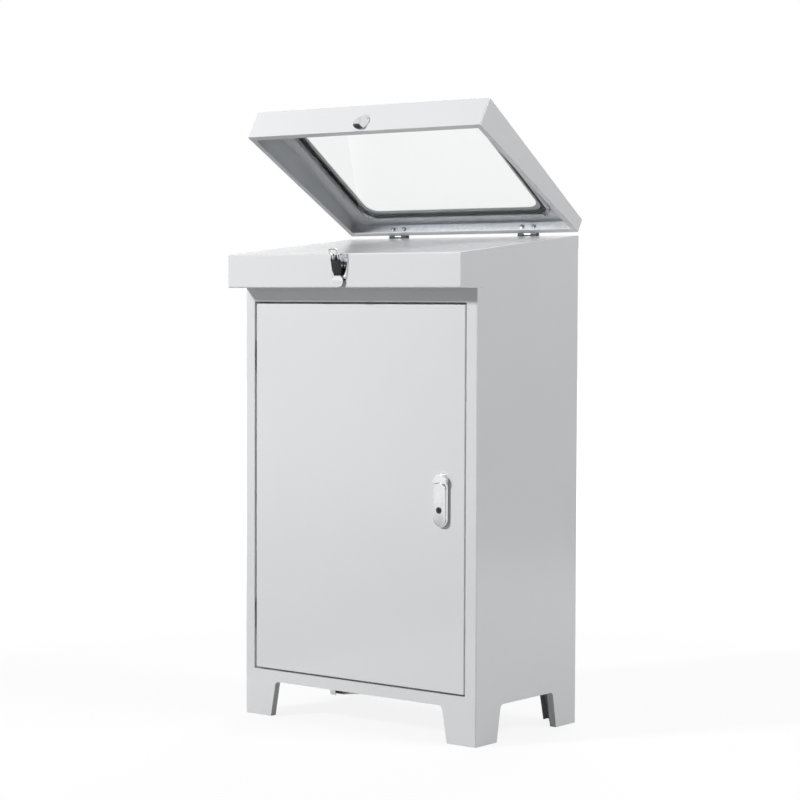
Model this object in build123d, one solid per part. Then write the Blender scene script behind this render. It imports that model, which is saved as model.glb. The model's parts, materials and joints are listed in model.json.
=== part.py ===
from build123d import *
import math
import os

# Floor-standing operator console cabinet in folded, painted sheet steel, in millimetres.
# X runs to the right, Y to the back, Z up. The origin is on the floor, in the middle of the
# four floor anchor holes. The lid is built closed and then swung up to its open position.

# Cabinet body
body_width = 600.0
body_depth = 345.0
nose_overhang = 55.0
rear_height = 1000.0
deck_fall = 42.0
nose_height = 68.0
sheet = 1.5
fold_radius = 3.0
edge_round = 1.0
corner_return = 18.0
nose_return = 15.0
rear_flange = 27.0
cut_overrun = 5.0

# Legs cut out of the skirt
leg_foot_width = 70.0
leg_taper = 13.0
skirt_bottom = 73.0
arch_radius = 9.0
arch_return = 15.0
foot_size = 50.0
foot_thickness = 4.0
foot_cut = 30.0
anchor_inset = 27.0
anchor_radius = 6.5

# Door, set flush into the front frame
door_stile = 29.0
door_bottom = 99.0
door_head = 32.0
door_flange = 18.0
door_edge_radius = 2.5
door_gap_hinge = 5.0
door_gap_lock = 3.0
door_gap_top = 4.0
door_gap_bottom = 3.0
opening_radius = 3.0
gutter_depth = 24.0
gutter_width = 30.0
rib_setback = 10.0
gasket_width = 12.0
gasket_clearance = 0.3

# Concealed door hinges
hinge_inset = 110.0
hinge_edge_offset = 8.0
hinge_depth = 6.0
hinge_barrel_radius = 4.0
hinge_pin_radius = 2.5
hinge_knuckle = 22.0
hinge_end_knuckle = 16.0
hinge_arm = 3.0
hinge_arm_offset = 1.0
hinge_foot_width = 12.0
hinge_leaf = 2.0
hinge_leaf_width = 9.5
hinge_notch_room = 4.0
running_clearance = 0.05
end_clearance = 0.4

# Oval flat lock on the door
lock_inset = 54.0
lock_rise = 324.5
lock_length = 105.0
lock_width = 33.5
lock_flange = 7.0
lock_round = 1.6
lock_cap = 17.0
cap_ear_rise = 11.0
lock_well_radius = 14.3
lock_well_depth = 10.5
lock_boss_wall = 1.5
lock_floor = 2.5
handle_radius = 13.75
handle_toe_margin = 3.0
handle_thickness = 4.2
handle_round = 1.4
handle_gap = 0.3
lift_pin_radius = 1.2
knuckle_radius = 2.6
knuckle_width = 3.4
lug_width = 7.0
lug_thickness = 4.4
lug_slot_room = 0.4
spindle_disc = 2.0
spindle_disc_radius = 13.0
spindle_radius = 6.0
spindle_square = 8.0
spindle_thread_radius = 3.9
button_radius = 6.6
button_below_axis = 40.0
button_proud = 0.8
button_travel = 1.2
button_collar = 1.0
button_collar_length = 1.2
key_slot_width = 1.6
key_slot_length = 7.0
key_slot_depth = 1.5
cam_thickness = 3.0
cam_hub_radius = 11.0
cam_tip_radius = 6.0
cam_reach = 40.0
cam_clearance = 1.0
cam_nut_flats = 13.0
cam_nut_height = 5.0
clamp_margin = 1.0
clamp_thickness = 2.0
clamp_screw_radius = 2.0
clamp_screw_head_radius = 3.6
clamp_screw_head = 2.2
clamp_screw_inset = 10.0
clamp_screw_bite = 2.5

# Glazed lid, a folded wedge tray hinged at the rear
lid_front_depth = 64.0
lid_rear_depth = 30.0
lid_sheet = 1.2
lid_edge_radius = 3.0
lid_rim = 12.0
lid_gap = 2.0
lid_setback = 1.0
lid_front_setback = 8.2
lid_open_angle = 36.1
window_side_border = 75.0
window_border = 51.0
window_radius = 27.0
glass_thickness = 5.0
glass_overlap = 24.0
glass_radius = 30.0
gasket_overlap = 18.0
gasket_setback = 8.0
gasket_thickness = 3.0
retainer_sheet = 1.2
retainer_foot = 11.0
retainer_clearance = 0.5
retainer_stud_radius = 2.0
retainer_stud_length = 9.0
retainer_nut_flats = 7.0
retainer_nut_height = 3.2
side_stud_shares = (-0.3, 0.3)
end_stud_shares = (-0.36, -0.02, 0.38)

# Lid hinges on the outside of the rear walls
lid_hinge_inset = 129.0
lid_hinge_width = 48.0
lid_barrel_radius = 4.5
lid_barrel_standoff = 0.5
lid_barrel_rise = 3.0
lid_pin_radius = 2.0
lid_knuckle = 16.0
lid_leaf = 2.0
lid_leaf_height = 24.0
lid_leaf_clear = 1.5
lid_leaf_corner = 3.0
lid_bolt_pitch = 30.0
lid_bolt_height = 13.0
bolt_radius = 2.5
bolt_head_radius = 4.6
bolt_head = 2.6
bolt_nut_flats = 8.0
bolt_nut_height = 4.0
hole_clearance = 0.2
strip_end_gap = 20.0
strip_low = 6.0
strip_high = 25.0
strip_thickness = 2.0

# Toggle draw latch on the nose, with its keeper on the lid
latch_low_margin = 13.0
latch_top_margin = 2.0
latch_width = 45.0
latch_foot_width = 37.0
latch_sheet = 1.5
latch_foot_radius = 10.0
latch_top_radius = 8.0
ear_length = 18.0
ear_reach = 13.5
ear_radius = 5.0
ear_clearance = 0.4
lever_pivot_drop = 5.0
lever_pivot_reach = 8.0
bail_pivot_drop = 17.0
bail_pivot_setback = 2.0
lever_half_width = 11.0
lever_neck_half_width = 8.0
lever_top_rise = 6.0
lever_face_drop = 7.0
lever_bend_drop = 15.0
lever_taper_drop = 24.0
lever_neck_drop = 37.0
lever_tip_drop = 48.0
lever_tip_radius = 11.0
lever_tip_spread = 3.0
lever_back_clear = 1.4
lever_face_reach = 14.5
lever_neck_reach = 7.5
lever_tip_reach = 5.5
lever_bend = 2.5
cheek_top_half = 3.5
cheek_nose = 7.0
pivot_rivet_radius = 2.0
pivot_rivet_head_radius = 3.4
pivot_rivet_head = 1.2
bail_wire_radius = 1.5
bail_length = 36.0
bail_bend = 2.5
bail_flare_start = 22.0
bail_flare_rise = 5.0
bail_hook_room = 0.6
bail_lean_angle = 25.0
latch_rivet_radius = 2.0
latch_rivet_head_radius = 3.6
latch_rivet_head = 1.4
latch_rivet_rise = 8.0
latch_rivet_spread = 26.0
latch_upper_rivet_drop = 12.0
latch_upper_rivet_spread = 35.0
keeper_width = 34.0
keeper_low = 6.0
keeper_high = 38.0
keeper_hook_width = 14.6
keeper_sheet = 1.6
keeper_lip = 9.0
keeper_bend = 3.0
keeper_slack = 0.6
keeper_rivet_height = 29.0
keeper_rivet_spread = 22.0

# Floor of the cabinet and cable entry
floor_sheet = 1.5
floor_flange = 12.0
floor_corner = 3.0
gland_opening_length = 300.0
gland_opening_width = 120.0
gland_lap = 16.0
gland_thickness = 2.0
gland_corner = 6.0
gland_screw_radius = 2.5
gland_screw_head_radius = 4.5
gland_screw_head = 2.5
gland_nut_height = 4.0
grommet_pitch = 95.0
grommet_bore = 12.0
grommet_hole = 16.0
grommet_flange_radius = 20.0
grommet_flange = 3.0

# Mounting plate inside
plate_margin = 10.0
plate_thickness = 2.5
plate_corner = 8.0
standoff_length = 25.0
standoff_radius = 7.0
standoff_inset = 22.0
plate_stud_radius = 4.0
plate_stud_length = 14.0
plate_nut_flats = 13.0
plate_nut_height = 6.5
earth_stud_radius = 4.0
earth_stud_length = 20.0
earth_stud_height = 105.0
earth_stud_inset = 60.0

# Planes and lines that the pieces share
half_width = body_width / 2
front_y = -body_depth / 2
back_y = body_depth / 2
nose_y = front_y - nose_overhang
deck_run = body_depth + nose_overhang
deck_slope = math.degrees(math.atan2(deck_fall, deck_run))
nose_top = rear_height - deck_fall
nose_bottom = nose_top - nose_height
inner_half = half_width - sheet
anchor_x = half_width - anchor_inset
anchor_y = body_depth / 2 - anchor_inset

door_left = -half_width + door_stile
door_right = half_width - door_stile
door_top = nose_bottom - door_head
opening_left = door_left - door_gap_hinge
opening_right = door_right + door_gap_lock
opening_bottom = door_bottom - door_gap_bottom
opening_top = door_top + door_gap_top
clear_left = opening_left + gutter_width
clear_right = opening_right - gutter_width
clear_bottom = opening_bottom + gutter_width
clear_top = opening_top - gutter_width
hinge_x = door_left + hinge_edge_offset
hinge_y = front_y + hinge_depth
hinge_heights = {"lower": door_bottom + hinge_inset, "upper": door_top - hinge_inset}

lock_x = door_right - lock_inset
lock_bottom = door_bottom + lock_rise
lock_top = lock_bottom + lock_length
lock_radius = lock_width / 2
lock_axis_z = lock_top - lock_cap - lock_well_radius
lock_face_y = front_y - lock_flange
handle_back_y = lock_face_y - handle_gap
handle_front_y = handle_back_y - handle_thickness
lift_y = handle_back_y
lug_slot_half = lug_width / 2 + lug_slot_room
well_floor_y = lock_face_y + lock_well_depth
boss_back_y = well_floor_y + lock_floor
boss_radius = lock_well_radius + lock_boss_wall
toe_z = lock_bottom + handle_toe_margin + handle_radius
button_z = lock_axis_z - button_below_axis
cam_y = front_y + gutter_depth + sheet + cam_clearance
cam_back_y = cam_y + cam_thickness

lid_length = math.hypot(deck_run, deck_fall) - lid_setback - lid_front_setback
lid_hinge_x = half_width - lid_hinge_inset
lid_axis_y = back_y + lid_barrel_radius + lid_barrel_standoff
lid_axis_z = rear_height + lid_barrel_rise
lid_hinge_line = Pos(0, lid_axis_y, lid_axis_z)
lid_closed = Pos(0, back_y - lid_setback, rear_height + lid_gap) * Rot(deck_slope, 0, 0)
lid_pose = lid_hinge_line * Rot(-lid_open_angle, 0, 0) * lid_hinge_line.inverse() * lid_closed
lid_axis_local = (lid_closed.inverse() * lid_hinge_line).position
lid_top_slope = math.degrees(math.atan2(lid_front_depth - lid_rear_depth, lid_length))
lid_roof = Pos(0, 0, lid_rear_depth) * Rot(-lid_top_slope, 0, 0)
roof_length = math.hypot(lid_length, lid_front_depth - lid_rear_depth)
window_half = half_width - window_side_border
window_front = -(roof_length - window_border)
window_rear = -window_border

latch_bottom = nose_bottom + latch_low_margin
latch_top = nose_top - latch_top_margin
latch_rivet_height = latch_bottom + latch_rivet_rise
latch_upper_rivet_height = latch_top - latch_upper_rivet_drop
lever_pivot_height = latch_top - lever_pivot_drop
lever_neck_height = lever_pivot_height - lever_neck_drop
lever_top_height = lever_pivot_height + lever_top_rise
lever_face_top = lever_pivot_height - lever_face_drop
lever_bend_height = lever_pivot_height - lever_bend_drop
lever_taper_height = lever_pivot_height - lever_taper_drop
lever_tip_height = lever_pivot_height - lever_tip_drop
ear_inner = lever_half_width + ear_clearance
lever_pivot_y = nose_y - lever_pivot_reach
bail_pivot_y = lever_pivot_y + bail_pivot_setback
bail_pivot_z = lever_pivot_height - bail_pivot_drop
bail_half_width = lever_half_width - latch_sheet - bail_bend
bail_loop_half_width = keeper_hook_width / 2 + bail_hook_room + bail_wire_radius
hooked_wire = (lid_closed.inverse() * Pos(0, bail_pivot_y, bail_pivot_z + bail_length)).position
gland_top = skirt_bottom + sheet
gland_half_length = gland_opening_length / 2
gland_half_width = gland_opening_width / 2
plate_half = min(-clear_left, clear_right) - plate_margin
plate_bottom = clear_bottom + plate_margin
plate_top = clear_top - plate_margin
plate_back_y = back_y - sheet - standoff_length
plate_front_y = plate_back_y - plate_thickness


def rect(low_u, high_u, low_v, high_v, radius=0):
    width = high_u - low_u
    height = high_v - low_v
    shape = RectangleRounded(width, height, radius) if radius else Rectangle(width, height)
    return Pos((low_u + high_u) / 2, (low_v + high_v) / 2) * shape


def disc(u, v, radius):
    return Pos(u, v) * Circle(radius)


def hexagon(u, v, flats):
    return Pos(u, v) * RegularPolygon(flats / 2, 6, major_radius=False)


def pill(u, low_v, high_v, low_radius, high_radius):
    return make_hull((disc(u, low_v, low_radius) + disc(u, high_v, high_radius)).edges())


def behind(sketch, y, depth):
    plane = Plane(origin=(0, y, 0), x_dir=(1, 0, 0), z_dir=(0, -1, 0))
    return extrude(plane * sketch, amount=depth, dir=(0, 1, 0))


def above(sketch, z, height):
    return extrude(Plane.XY.offset(z) * sketch, amount=height, dir=(0, 0, 1))


def across(sketch, x, width):
    plane = Plane(origin=(x, 0, 0), x_dir=(0, 1, 0), z_dir=(1, 0, 0))
    return extrude(plane * sketch, amount=width, dir=(1, 0, 0))


def folded(points, gauge, radius=fold_radius, side=Side.LEFT):
    line = FilletPolyline(*points, radius=radius)
    return make_face(offset(line, amount=gauge, side=side, closed=True))


def corners(sketch, *places):
    return [sketch.vertices().sort_by_distance(Vector(u, v, 0))[0] for u, v in places]


def group(pieces):
    return Compound(children=list(pieces))


def mirrored(piece):
    return mirror(piece, about=Plane.YZ)


def arch_points(low, high):
    return (low, 0), (low + leg_taper, skirt_bottom), (high - leg_taper, skirt_bottom), (high, 0)


def arch_hole(low, high):
    below = -cut_overrun
    low_foot, low_top, high_top, high_foot = arch_points(low, high)
    hole = Polygon((low_foot[0], below), low_foot, low_top, high_top, high_foot,
                   (high_foot[0], below), align=None)
    return fillet(corners(hole, low_top, high_top), arch_radius)


def arch_band(low, high):
    return folded(arch_points(low, high), sheet, arch_radius)


# Front face with stiles, header and legs, folded back at both sides and into a gutter at the door.
def make_front_frame():
    back = front_y + corner_return
    plan = folded(((-half_width, back), (-half_width, front_y), (half_width, front_y),
                   (half_width, back)), sheet)
    opening = rect(opening_left, opening_right, opening_bottom, opening_top, opening_radius)
    clear = rect(clear_left, clear_right, clear_bottom, clear_top, opening_radius)
    low, high = leg_foot_width - half_width, half_width - leg_foot_width
    frame = above(plan, 0, nose_bottom)
    frame -= behind(opening, front_y - cut_overrun, cut_overrun + corner_return)
    frame -= behind(arch_hole(low, high), front_y - cut_overrun, cut_overrun + sheet + cut_overrun)
    frame += behind(arch_band(low, high), front_y, arch_return)
    frame += behind(offset(opening, sheet) - opening, front_y, gutter_depth)
    frame += behind(offset(opening, sheet) - clear, front_y + gutter_depth, sheet)
    frame += behind(offset(clear, sheet) - clear, front_y + rib_setback, gutter_depth - rib_setback)
    return frame


# Flat side wall whose upper end reaches forward as the cheek of the nose.
def make_side_panel():
    front = front_y + corner_return
    back = back_y - corner_return
    shoulder = rear_height - rear_flange
    nose_low, nose_high, rear = (nose_y, nose_bottom), (nose_y, nose_top), (back_y, rear_height)
    wall = Polygon((front, 0), (front, nose_bottom), nose_low, nose_high, rear, (back_y, shoulder),
                   (back, shoulder), (back, 0), align=None)
    wall = fillet(corners(wall, nose_low, nose_high, rear), fold_radius)
    low, high = front_y + leg_foot_width, back_y - leg_foot_width
    panel = across(wall - arch_hole(low, high), inner_half, sheet)
    outer = panel.faces().sort_by(Axis.X)[-1].edges()
    rim = [edge for edge in outer if edge.center().Z > nose_bottom and edge.center().Y < 0]
    panel = fillet(rim, edge_round)
    return panel + across(arch_band(low, high), half_width - arch_return, arch_return)


# Underside, fascia, sloping deck and rear flange folded from one sheet.
def make_deck_panel():
    section = folded(((front_y + nose_return, nose_bottom), (nose_y, nose_bottom), (nose_y, nose_top),
                      (back_y, rear_height), (back_y, rear_height - rear_flange)), sheet,
                     side=Side.RIGHT)
    deck = across(section, -inner_half, 2 * inner_half)
    for bolt_x in lid_bolt_places():
        deck -= behind(disc(bolt_x, rear_height - lid_bolt_height, bolt_radius + hole_clearance),
                       back_y - sheet - cut_overrun, sheet + 2 * cut_overrun)
    for x, z in latch_rivet_places():
        deck -= behind(disc(x, z, latch_rivet_radius + hole_clearance), nose_y - cut_overrun,
                       sheet + 2 * cut_overrun)
    return deck


def make_back_panel():
    front = back_y - corner_return
    plan = folded(((half_width, front), (half_width, back_y), (-half_width, back_y),
                   (-half_width, front)), sheet)
    low, high = leg_foot_width - half_width, half_width - leg_foot_width
    panel = above(plan, 0, rear_height - rear_flange)
    panel -= behind(arch_hole(low, high), back_y - sheet - cut_overrun, sheet + 2 * cut_overrun)
    return panel + behind(arch_band(low, high), back_y - arch_return, arch_return)


def make_foot_plates():
    plates = []
    for side_x in (-1, 1):
        for side_y in (-1, 1):
            corner_x = side_x * inner_half
            corner_y = side_y * (body_depth / 2 - sheet)
            inside_x = corner_x - side_x * foot_size
            inside_y = corner_y - side_y * foot_size
            outline = rect(min(corner_x, inside_x), max(corner_x, inside_x),
                           min(corner_y, inside_y), max(corner_y, inside_y))
            outline -= Pos(inside_x, inside_y) * RegularPolygon(foot_cut, 4)
            outline -= disc(side_x * anchor_x, side_y * anchor_y, anchor_radius)
            plates.append(above(outline, 0, foot_thickness))
    return group(plates)


# Cabinet floor, a shallow tray with its edges turned up against the walls.
def make_bottom_plate():
    outer = rect(-inner_half, inner_half, front_y + sheet, back_y - sheet, floor_corner)
    inner = offset(outer, -floor_sheet)
    tray = above(outer, gland_top, floor_flange) - above(inner, gland_top + floor_sheet, floor_flange)
    tray -= above(rect(-gland_half_length, gland_half_length, -gland_half_width, gland_half_width,
                       gland_corner), gland_top - cut_overrun, floor_sheet + 2 * cut_overrun)
    for x, y in gland_screw_places():
        tray -= above(disc(x, y, gland_screw_radius + hole_clearance), gland_top - cut_overrun,
                      floor_sheet + 2 * cut_overrun)
    return tray


def gland_screw_places():
    along = gland_half_length + gland_lap / 2
    beside = gland_half_width + gland_lap / 2
    return [(x, y) for x in (-along, 0, along) for y in (-beside, beside)]


def grommet_places():
    return [-grommet_pitch, 0, grommet_pitch]


def make_gland_plate():
    outline = rect(-gland_half_length - gland_lap, gland_half_length + gland_lap,
                   -gland_half_width - gland_lap, gland_half_width + gland_lap, gland_corner)
    for x in grommet_places():
        outline -= disc(x, 0, grommet_hole)
    for x, y in gland_screw_places():
        outline -= disc(x, y, gland_screw_radius + hole_clearance)
    return above(outline, gland_top - gland_thickness, gland_thickness)


def make_gland_grommets():
    low = gland_top - gland_thickness
    body = disc(0, 0, grommet_hole) - disc(0, 0, grommet_bore)
    flange = disc(0, 0, grommet_flange_radius) - disc(0, 0, grommet_bore)
    ring = above(body, low, gland_thickness) + above(flange, gland_top, grommet_flange)
    ring += above(flange, low - grommet_flange, grommet_flange)
    return group(Pos(x, 0, 0) * ring for x in grommet_places())


def make_gland_screws():
    low = gland_top - gland_thickness
    top = gland_top + floor_sheet
    pieces = []
    for x, y in gland_screw_places():
        shank = above(disc(x, y, gland_screw_radius), low, top - low + gland_nut_height)
        head = above(disc(x, y, gland_screw_head_radius), low - gland_screw_head, gland_screw_head)
        nut = above(hexagon(x, y, bolt_nut_flats), top, gland_nut_height)
        pieces += [shank + fillet(head.edges().group_by(Axis.Z)[0], edge_round),
                   nut - above(disc(x, y, gland_screw_radius), top, gland_nut_height)]
    return group(pieces)


def standoff_places():
    x = plate_half - standoff_inset
    return [(side * x, z) for side in (-1, 1)
            for z in (plate_bottom + standoff_inset, plate_top - standoff_inset)]


def make_mounting_plate():
    outline = rect(-plate_half, plate_half, plate_bottom, plate_top, plate_corner)
    for x, z in standoff_places():
        outline -= disc(x, z, plate_stud_radius + hole_clearance)
    return behind(outline, plate_front_y, plate_thickness)


def make_plate_standoffs():
    pieces = []
    for x, z in standoff_places():
        sleeve = behind(disc(x, z, standoff_radius), plate_back_y, standoff_length)
        stud = behind(disc(x, z, plate_stud_radius), plate_back_y - plate_stud_length,
                      plate_stud_length)
        pieces.append(sleeve + stud)
    return group(pieces)


def make_plate_nuts():
    ring = [hexagon(x, z, plate_nut_flats) - disc(x, z, plate_stud_radius)
            for x, z in standoff_places()]
    return group(behind(nut, plate_front_y - plate_nut_height, plate_nut_height) for nut in ring)


# Threaded stud welded to a wall, with a nut run down to its foot.
def make_earth_stud(x, y, z, toward):
    stud = behind(disc(x, z, earth_stud_radius), min(y, y + toward * earth_stud_length),
                  earth_stud_length)
    nut = behind(hexagon(x, z, plate_nut_flats) - disc(x, z, earth_stud_radius),
                 min(y, y + toward * plate_nut_height), plate_nut_height)
    return group((stud, nut))


# Door pan with turned edges, notched beside the hinges and pierced for the lock.
def make_door_panel():
    outline = rect(door_left, door_right, door_bottom, door_top, door_edge_radius)
    pan = behind(outline, front_y, door_flange)
    pan = fillet(pan.faces().sort_by(Axis.Y)[0].edges(), door_edge_radius)
    hollow = behind(offset(outline, -sheet), front_y + sheet, door_flange)
    pan -= fillet(hollow.faces().sort_by(Axis.Y)[0].edges(), door_edge_radius - sheet)
    notch = hinge_knuckle / 2 + hinge_end_knuckle + hinge_notch_room
    for height in hinge_heights.values():
        pan -= behind(rect(door_left - cut_overrun, door_left + sheet + edge_round, height - notch,
                           height + notch), front_y + door_edge_radius, door_flange)
    pan -= behind(disc(lock_x, lock_axis_z, boss_radius + hole_clearance), front_y - cut_overrun,
                  sheet + 2 * cut_overrun)
    for z in clamp_screw_heights():
        pan -= behind(disc(lock_x, z, clamp_screw_radius + hole_clearance), front_y - cut_overrun,
                      sheet + 2 * cut_overrun)
    return pan


def make_door_gasket():
    middle = rect(clear_left - sheet / 2, clear_right + sheet / 2, clear_bottom - sheet / 2,
                  clear_top + sheet / 2, opening_radius + gasket_width)
    ring = offset(middle, gasket_width / 2) - offset(middle, -gasket_width / 2)
    return behind(ring, front_y + sheet, rib_setback - sheet - gasket_clearance)


# Fixed half of a concealed hinge: one knuckle on an arm that stands in the gutter.
def make_hinge_bracket(height):
    low = height - hinge_knuckle / 2
    lip_y = front_y + gutter_depth
    arm_x = hinge_x + hinge_arm_offset
    barrel = above(disc(hinge_x, hinge_y, hinge_barrel_radius), low, hinge_knuckle)
    arm = above(rect(arm_x, arm_x + hinge_arm, hinge_y, lip_y), low, hinge_knuckle)
    foot = above(rect(arm_x, arm_x + hinge_foot_width, lip_y - hinge_leaf, lip_y), low, hinge_knuckle)
    bore = above(disc(hinge_x, hinge_y, hinge_pin_radius), low, hinge_knuckle)
    return barrel + arm + foot - bore


def make_hinge_pin(height):
    half = hinge_knuckle / 2 + end_clearance + hinge_end_knuckle
    return above(disc(hinge_x, hinge_y, hinge_pin_radius), height - half, 2 * half)


# Moving half of a concealed hinge: two knuckles on a leaf behind the door's face.
def make_hinge_leaf(height):
    inner = hinge_knuckle / 2 + end_clearance
    outer = inner + hinge_end_knuckle
    face_y = front_y + sheet
    leaf = above(rect(hinge_x, hinge_x + hinge_leaf_width, face_y, face_y + hinge_leaf),
                 height - outer, 2 * outer)
    leaf -= above(rect(hinge_x - cut_overrun, hinge_x + hinge_barrel_radius + end_clearance, face_y,
                       face_y + hinge_leaf), height - inner, 2 * inner)
    barrel = disc(hinge_x, hinge_y, hinge_barrel_radius)
    bore = disc(hinge_x, hinge_y, hinge_pin_radius + running_clearance)
    for low in (height - outer, height + inner):
        leaf += above(barrel, low, hinge_end_knuckle)
        leaf -= above(bore, low, hinge_end_knuckle)
    return leaf


def clamp_screw_heights():
    return lock_bottom + clamp_screw_inset, lock_top - clamp_screw_inset


# Oval lock body: flange on the door, raised cap above the handle, round well and boss behind it.
def make_lock_housing():
    oval = pill(lock_x, lock_bottom + lock_radius, lock_top - lock_radius, lock_radius, lock_radius)
    well = disc(lock_x, lock_axis_z, lock_well_radius)
    cap = oval - rect(lock_x - lock_width, lock_x + lock_width, lock_bottom, lock_axis_z + cap_ear_rise)
    flange = behind(oval, lock_face_y, lock_flange)
    flange = fillet(flange.faces().sort_by(Axis.Y)[0].edges(), lock_round)
    raised = behind(cap, handle_front_y, lock_face_y + lock_round - handle_front_y)
    raised = fillet(raised.faces().sort_by(Axis.Y)[0].edges(), lock_round)
    boss = behind(disc(lock_x, lock_axis_z, boss_radius), lock_face_y + lock_round,
                  boss_back_y - lock_face_y - lock_round)
    housing = flange + raised + boss
    housing -= behind(well, handle_front_y - cut_overrun, well_floor_y - handle_front_y + cut_overrun)
    housing -= behind(disc(lock_x, lock_axis_z, spindle_radius + running_clearance), well_floor_y,
                      lock_floor)
    for z in clamp_screw_heights():
        housing -= behind(disc(lock_x, z, clamp_screw_radius), front_y - clamp_screw_bite,
                          clamp_screw_bite)
    return housing


def make_lock_clamp():
    inset = clamp_margin + lock_radius
    plate = pill(lock_x, lock_bottom + inset, lock_top - inset, lock_radius, lock_radius)
    plate -= disc(lock_x, lock_axis_z, boss_radius + hole_clearance)
    for z in clamp_screw_heights():
        plate -= disc(lock_x, z, clamp_screw_radius + hole_clearance)
    return behind(plate, front_y + sheet, clamp_thickness)


def make_lock_clamp_screws():
    back = front_y + sheet + clamp_thickness
    pieces = []
    for z in clamp_screw_heights():
        shank = behind(disc(lock_x, z, clamp_screw_radius), front_y - clamp_screw_bite,
                       back - front_y + clamp_screw_bite)
        head = behind(disc(lock_x, z, clamp_screw_head_radius), back, clamp_screw_head)
        pieces.append(shank + fillet(head.edges().group_by(Axis.Y)[-1], edge_round))
    return group(pieces)


# Spindle through the lock body: disc in the well, lug for the handle, square and thread for the cam.
def make_lock_spindle():
    disc_y = well_floor_y - spindle_disc
    lug_tip = disc(lift_y, lock_axis_z, lug_thickness / 2)
    lug_stem = rect(lift_y, disc_y + spindle_disc, lock_axis_z - lug_thickness / 2,
                    lock_axis_z + lug_thickness / 2)
    spindle = behind(disc(lock_x, lock_axis_z, spindle_disc_radius), disc_y, spindle_disc)
    spindle += across(lug_tip + lug_stem, lock_x - lug_width / 2, lug_width)
    spindle += behind(disc(lock_x, lock_axis_z, spindle_radius), well_floor_y, cam_y - well_floor_y)
    half = spindle_square / 2
    spindle += behind(rect(lock_x - half, lock_x + half, lock_axis_z - half, lock_axis_z + half),
                      cam_y, cam_thickness)
    spindle += behind(disc(lock_x, lock_axis_z, spindle_thread_radius), cam_back_y, cam_nut_height)
    return spindle - across(disc(lift_y, lock_axis_z, lift_pin_radius), lock_x - lug_width, 2 * lug_width)


# Flat handle with a round head under the cap, and two knuckles behind it that hold the lift pin.
def make_lock_handle():
    outline = pill(lock_x, toe_z, lock_axis_z, handle_radius, handle_radius)
    handle = behind(outline, handle_front_y, handle_thickness)
    handle = fillet(handle.faces().sort_by(Axis.Y)[0].edges(), handle_round)
    knuckle = disc(lift_y, lock_axis_z, knuckle_radius)
    for low in (lock_x - lug_slot_half - knuckle_width, lock_x + lug_slot_half):
        handle += across(knuckle, low, knuckle_width)
    slot_half_height = lug_thickness / 2 + lug_slot_room
    handle -= behind(rect(lock_x - lug_slot_half, lock_x + lug_slot_half, lock_axis_z - slot_half_height,
                          lock_axis_z + slot_half_height), lift_y - slot_half_height, slot_half_height)
    reach = lug_slot_half + knuckle_width
    handle -= across(disc(lift_y, lock_axis_z, lift_pin_radius + running_clearance),
                     lock_x - reach, 2 * reach)
    handle -= behind(disc(lock_x, button_z, button_radius + running_clearance),
                     handle_front_y - cut_overrun, handle_thickness + cut_overrun)
    collar_y = handle_back_y - button_travel - button_collar_length - handle_gap
    return handle - behind(disc(lock_x, button_z, button_radius + button_collar + running_clearance),
                           collar_y, handle_back_y - collar_y)


def make_lock_handle_pin():
    reach = lug_slot_half + knuckle_width
    return across(disc(lift_y, lock_axis_z, lift_pin_radius), lock_x - reach, 2 * reach)


# Key button that is pressed into the handle, held by a collar behind its bore.
def make_lock_button():
    face_y = handle_front_y - button_proud
    collar_y = handle_back_y - button_travel - button_collar_length - running_clearance
    button = behind(disc(lock_x, button_z, button_radius), face_y, collar_y - face_y)
    button = chamfer(button.faces().sort_by(Axis.Y)[0].edges(), button_proud / 2)
    button += behind(disc(lock_x, button_z, button_radius + button_collar), collar_y,
                     button_collar_length)
    slot = rect(lock_x - key_slot_width / 2, lock_x + key_slot_width / 2,
                button_z - key_slot_length / 2, button_z + key_slot_length / 2)
    return button - behind(slot, face_y, key_slot_depth)


# Flat cam that points up while released and swings behind the gutter when the handle turns.
def make_lock_cam():
    outline = pill(lock_x, lock_axis_z, lock_axis_z + cam_reach, cam_hub_radius, cam_tip_radius)
    half = spindle_square / 2
    outline -= rect(lock_x - half, lock_x + half, lock_axis_z - half, lock_axis_z + half)
    return behind(outline, cam_y, cam_thickness)


def make_lock_cam_nut():
    ring = hexagon(lock_x, lock_axis_z, cam_nut_flats)
    ring -= disc(lock_x, lock_axis_z, spindle_thread_radius)
    return behind(ring, cam_back_y, cam_nut_height)


def lid_section(inset):
    outline = Polygon((0, 0), (0, lid_rear_depth), (-lid_length, lid_front_depth), (-lid_length, 0),
                      align=None)
    return offset(outline, -inset, kind=Kind.INTERSECTION) if inset else outline


# Wedge tray folded from one sheet, with a window, a turned-in rim and rounded outer folds.
def make_lid_shell():
    tray = across(lid_section(0), -half_width, body_width)
    tray = fillet(tray.edges().filter_by(lambda edge: edge.center().Z > lid_edge_radius), lid_edge_radius)
    inside = across(lid_section(lid_sheet), lid_sheet - half_width, body_width - 2 * lid_sheet)
    tray -= fillet(inside.edges().filter_by(lambda edge: edge.center().Z > lid_edge_radius),
                   lid_edge_radius - lid_sheet)
    mouth = rect(lid_rim - half_width, half_width - lid_rim, lid_rim - lid_length, -lid_rim)
    tray -= above(mouth, -cut_overrun, 2 * cut_overrun)
    window = rect(-window_half, window_half, window_front, window_rear, window_radius)
    tray -= lid_roof * above(window, -lid_rear_depth / 2, lid_rear_depth)
    for x in lid_bolt_places():
        tray -= behind(disc(x, lid_bolt_height, bolt_radius + hole_clearance),
                       -lid_sheet - cut_overrun, lid_sheet + 2 * cut_overrun)
    for x in keeper_rivet_places():
        tray -= behind(disc(x, keeper_rivet_height, latch_rivet_radius + hole_clearance),
                       -lid_length - cut_overrun, lid_sheet + 2 * cut_overrun)
    return tray


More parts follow.
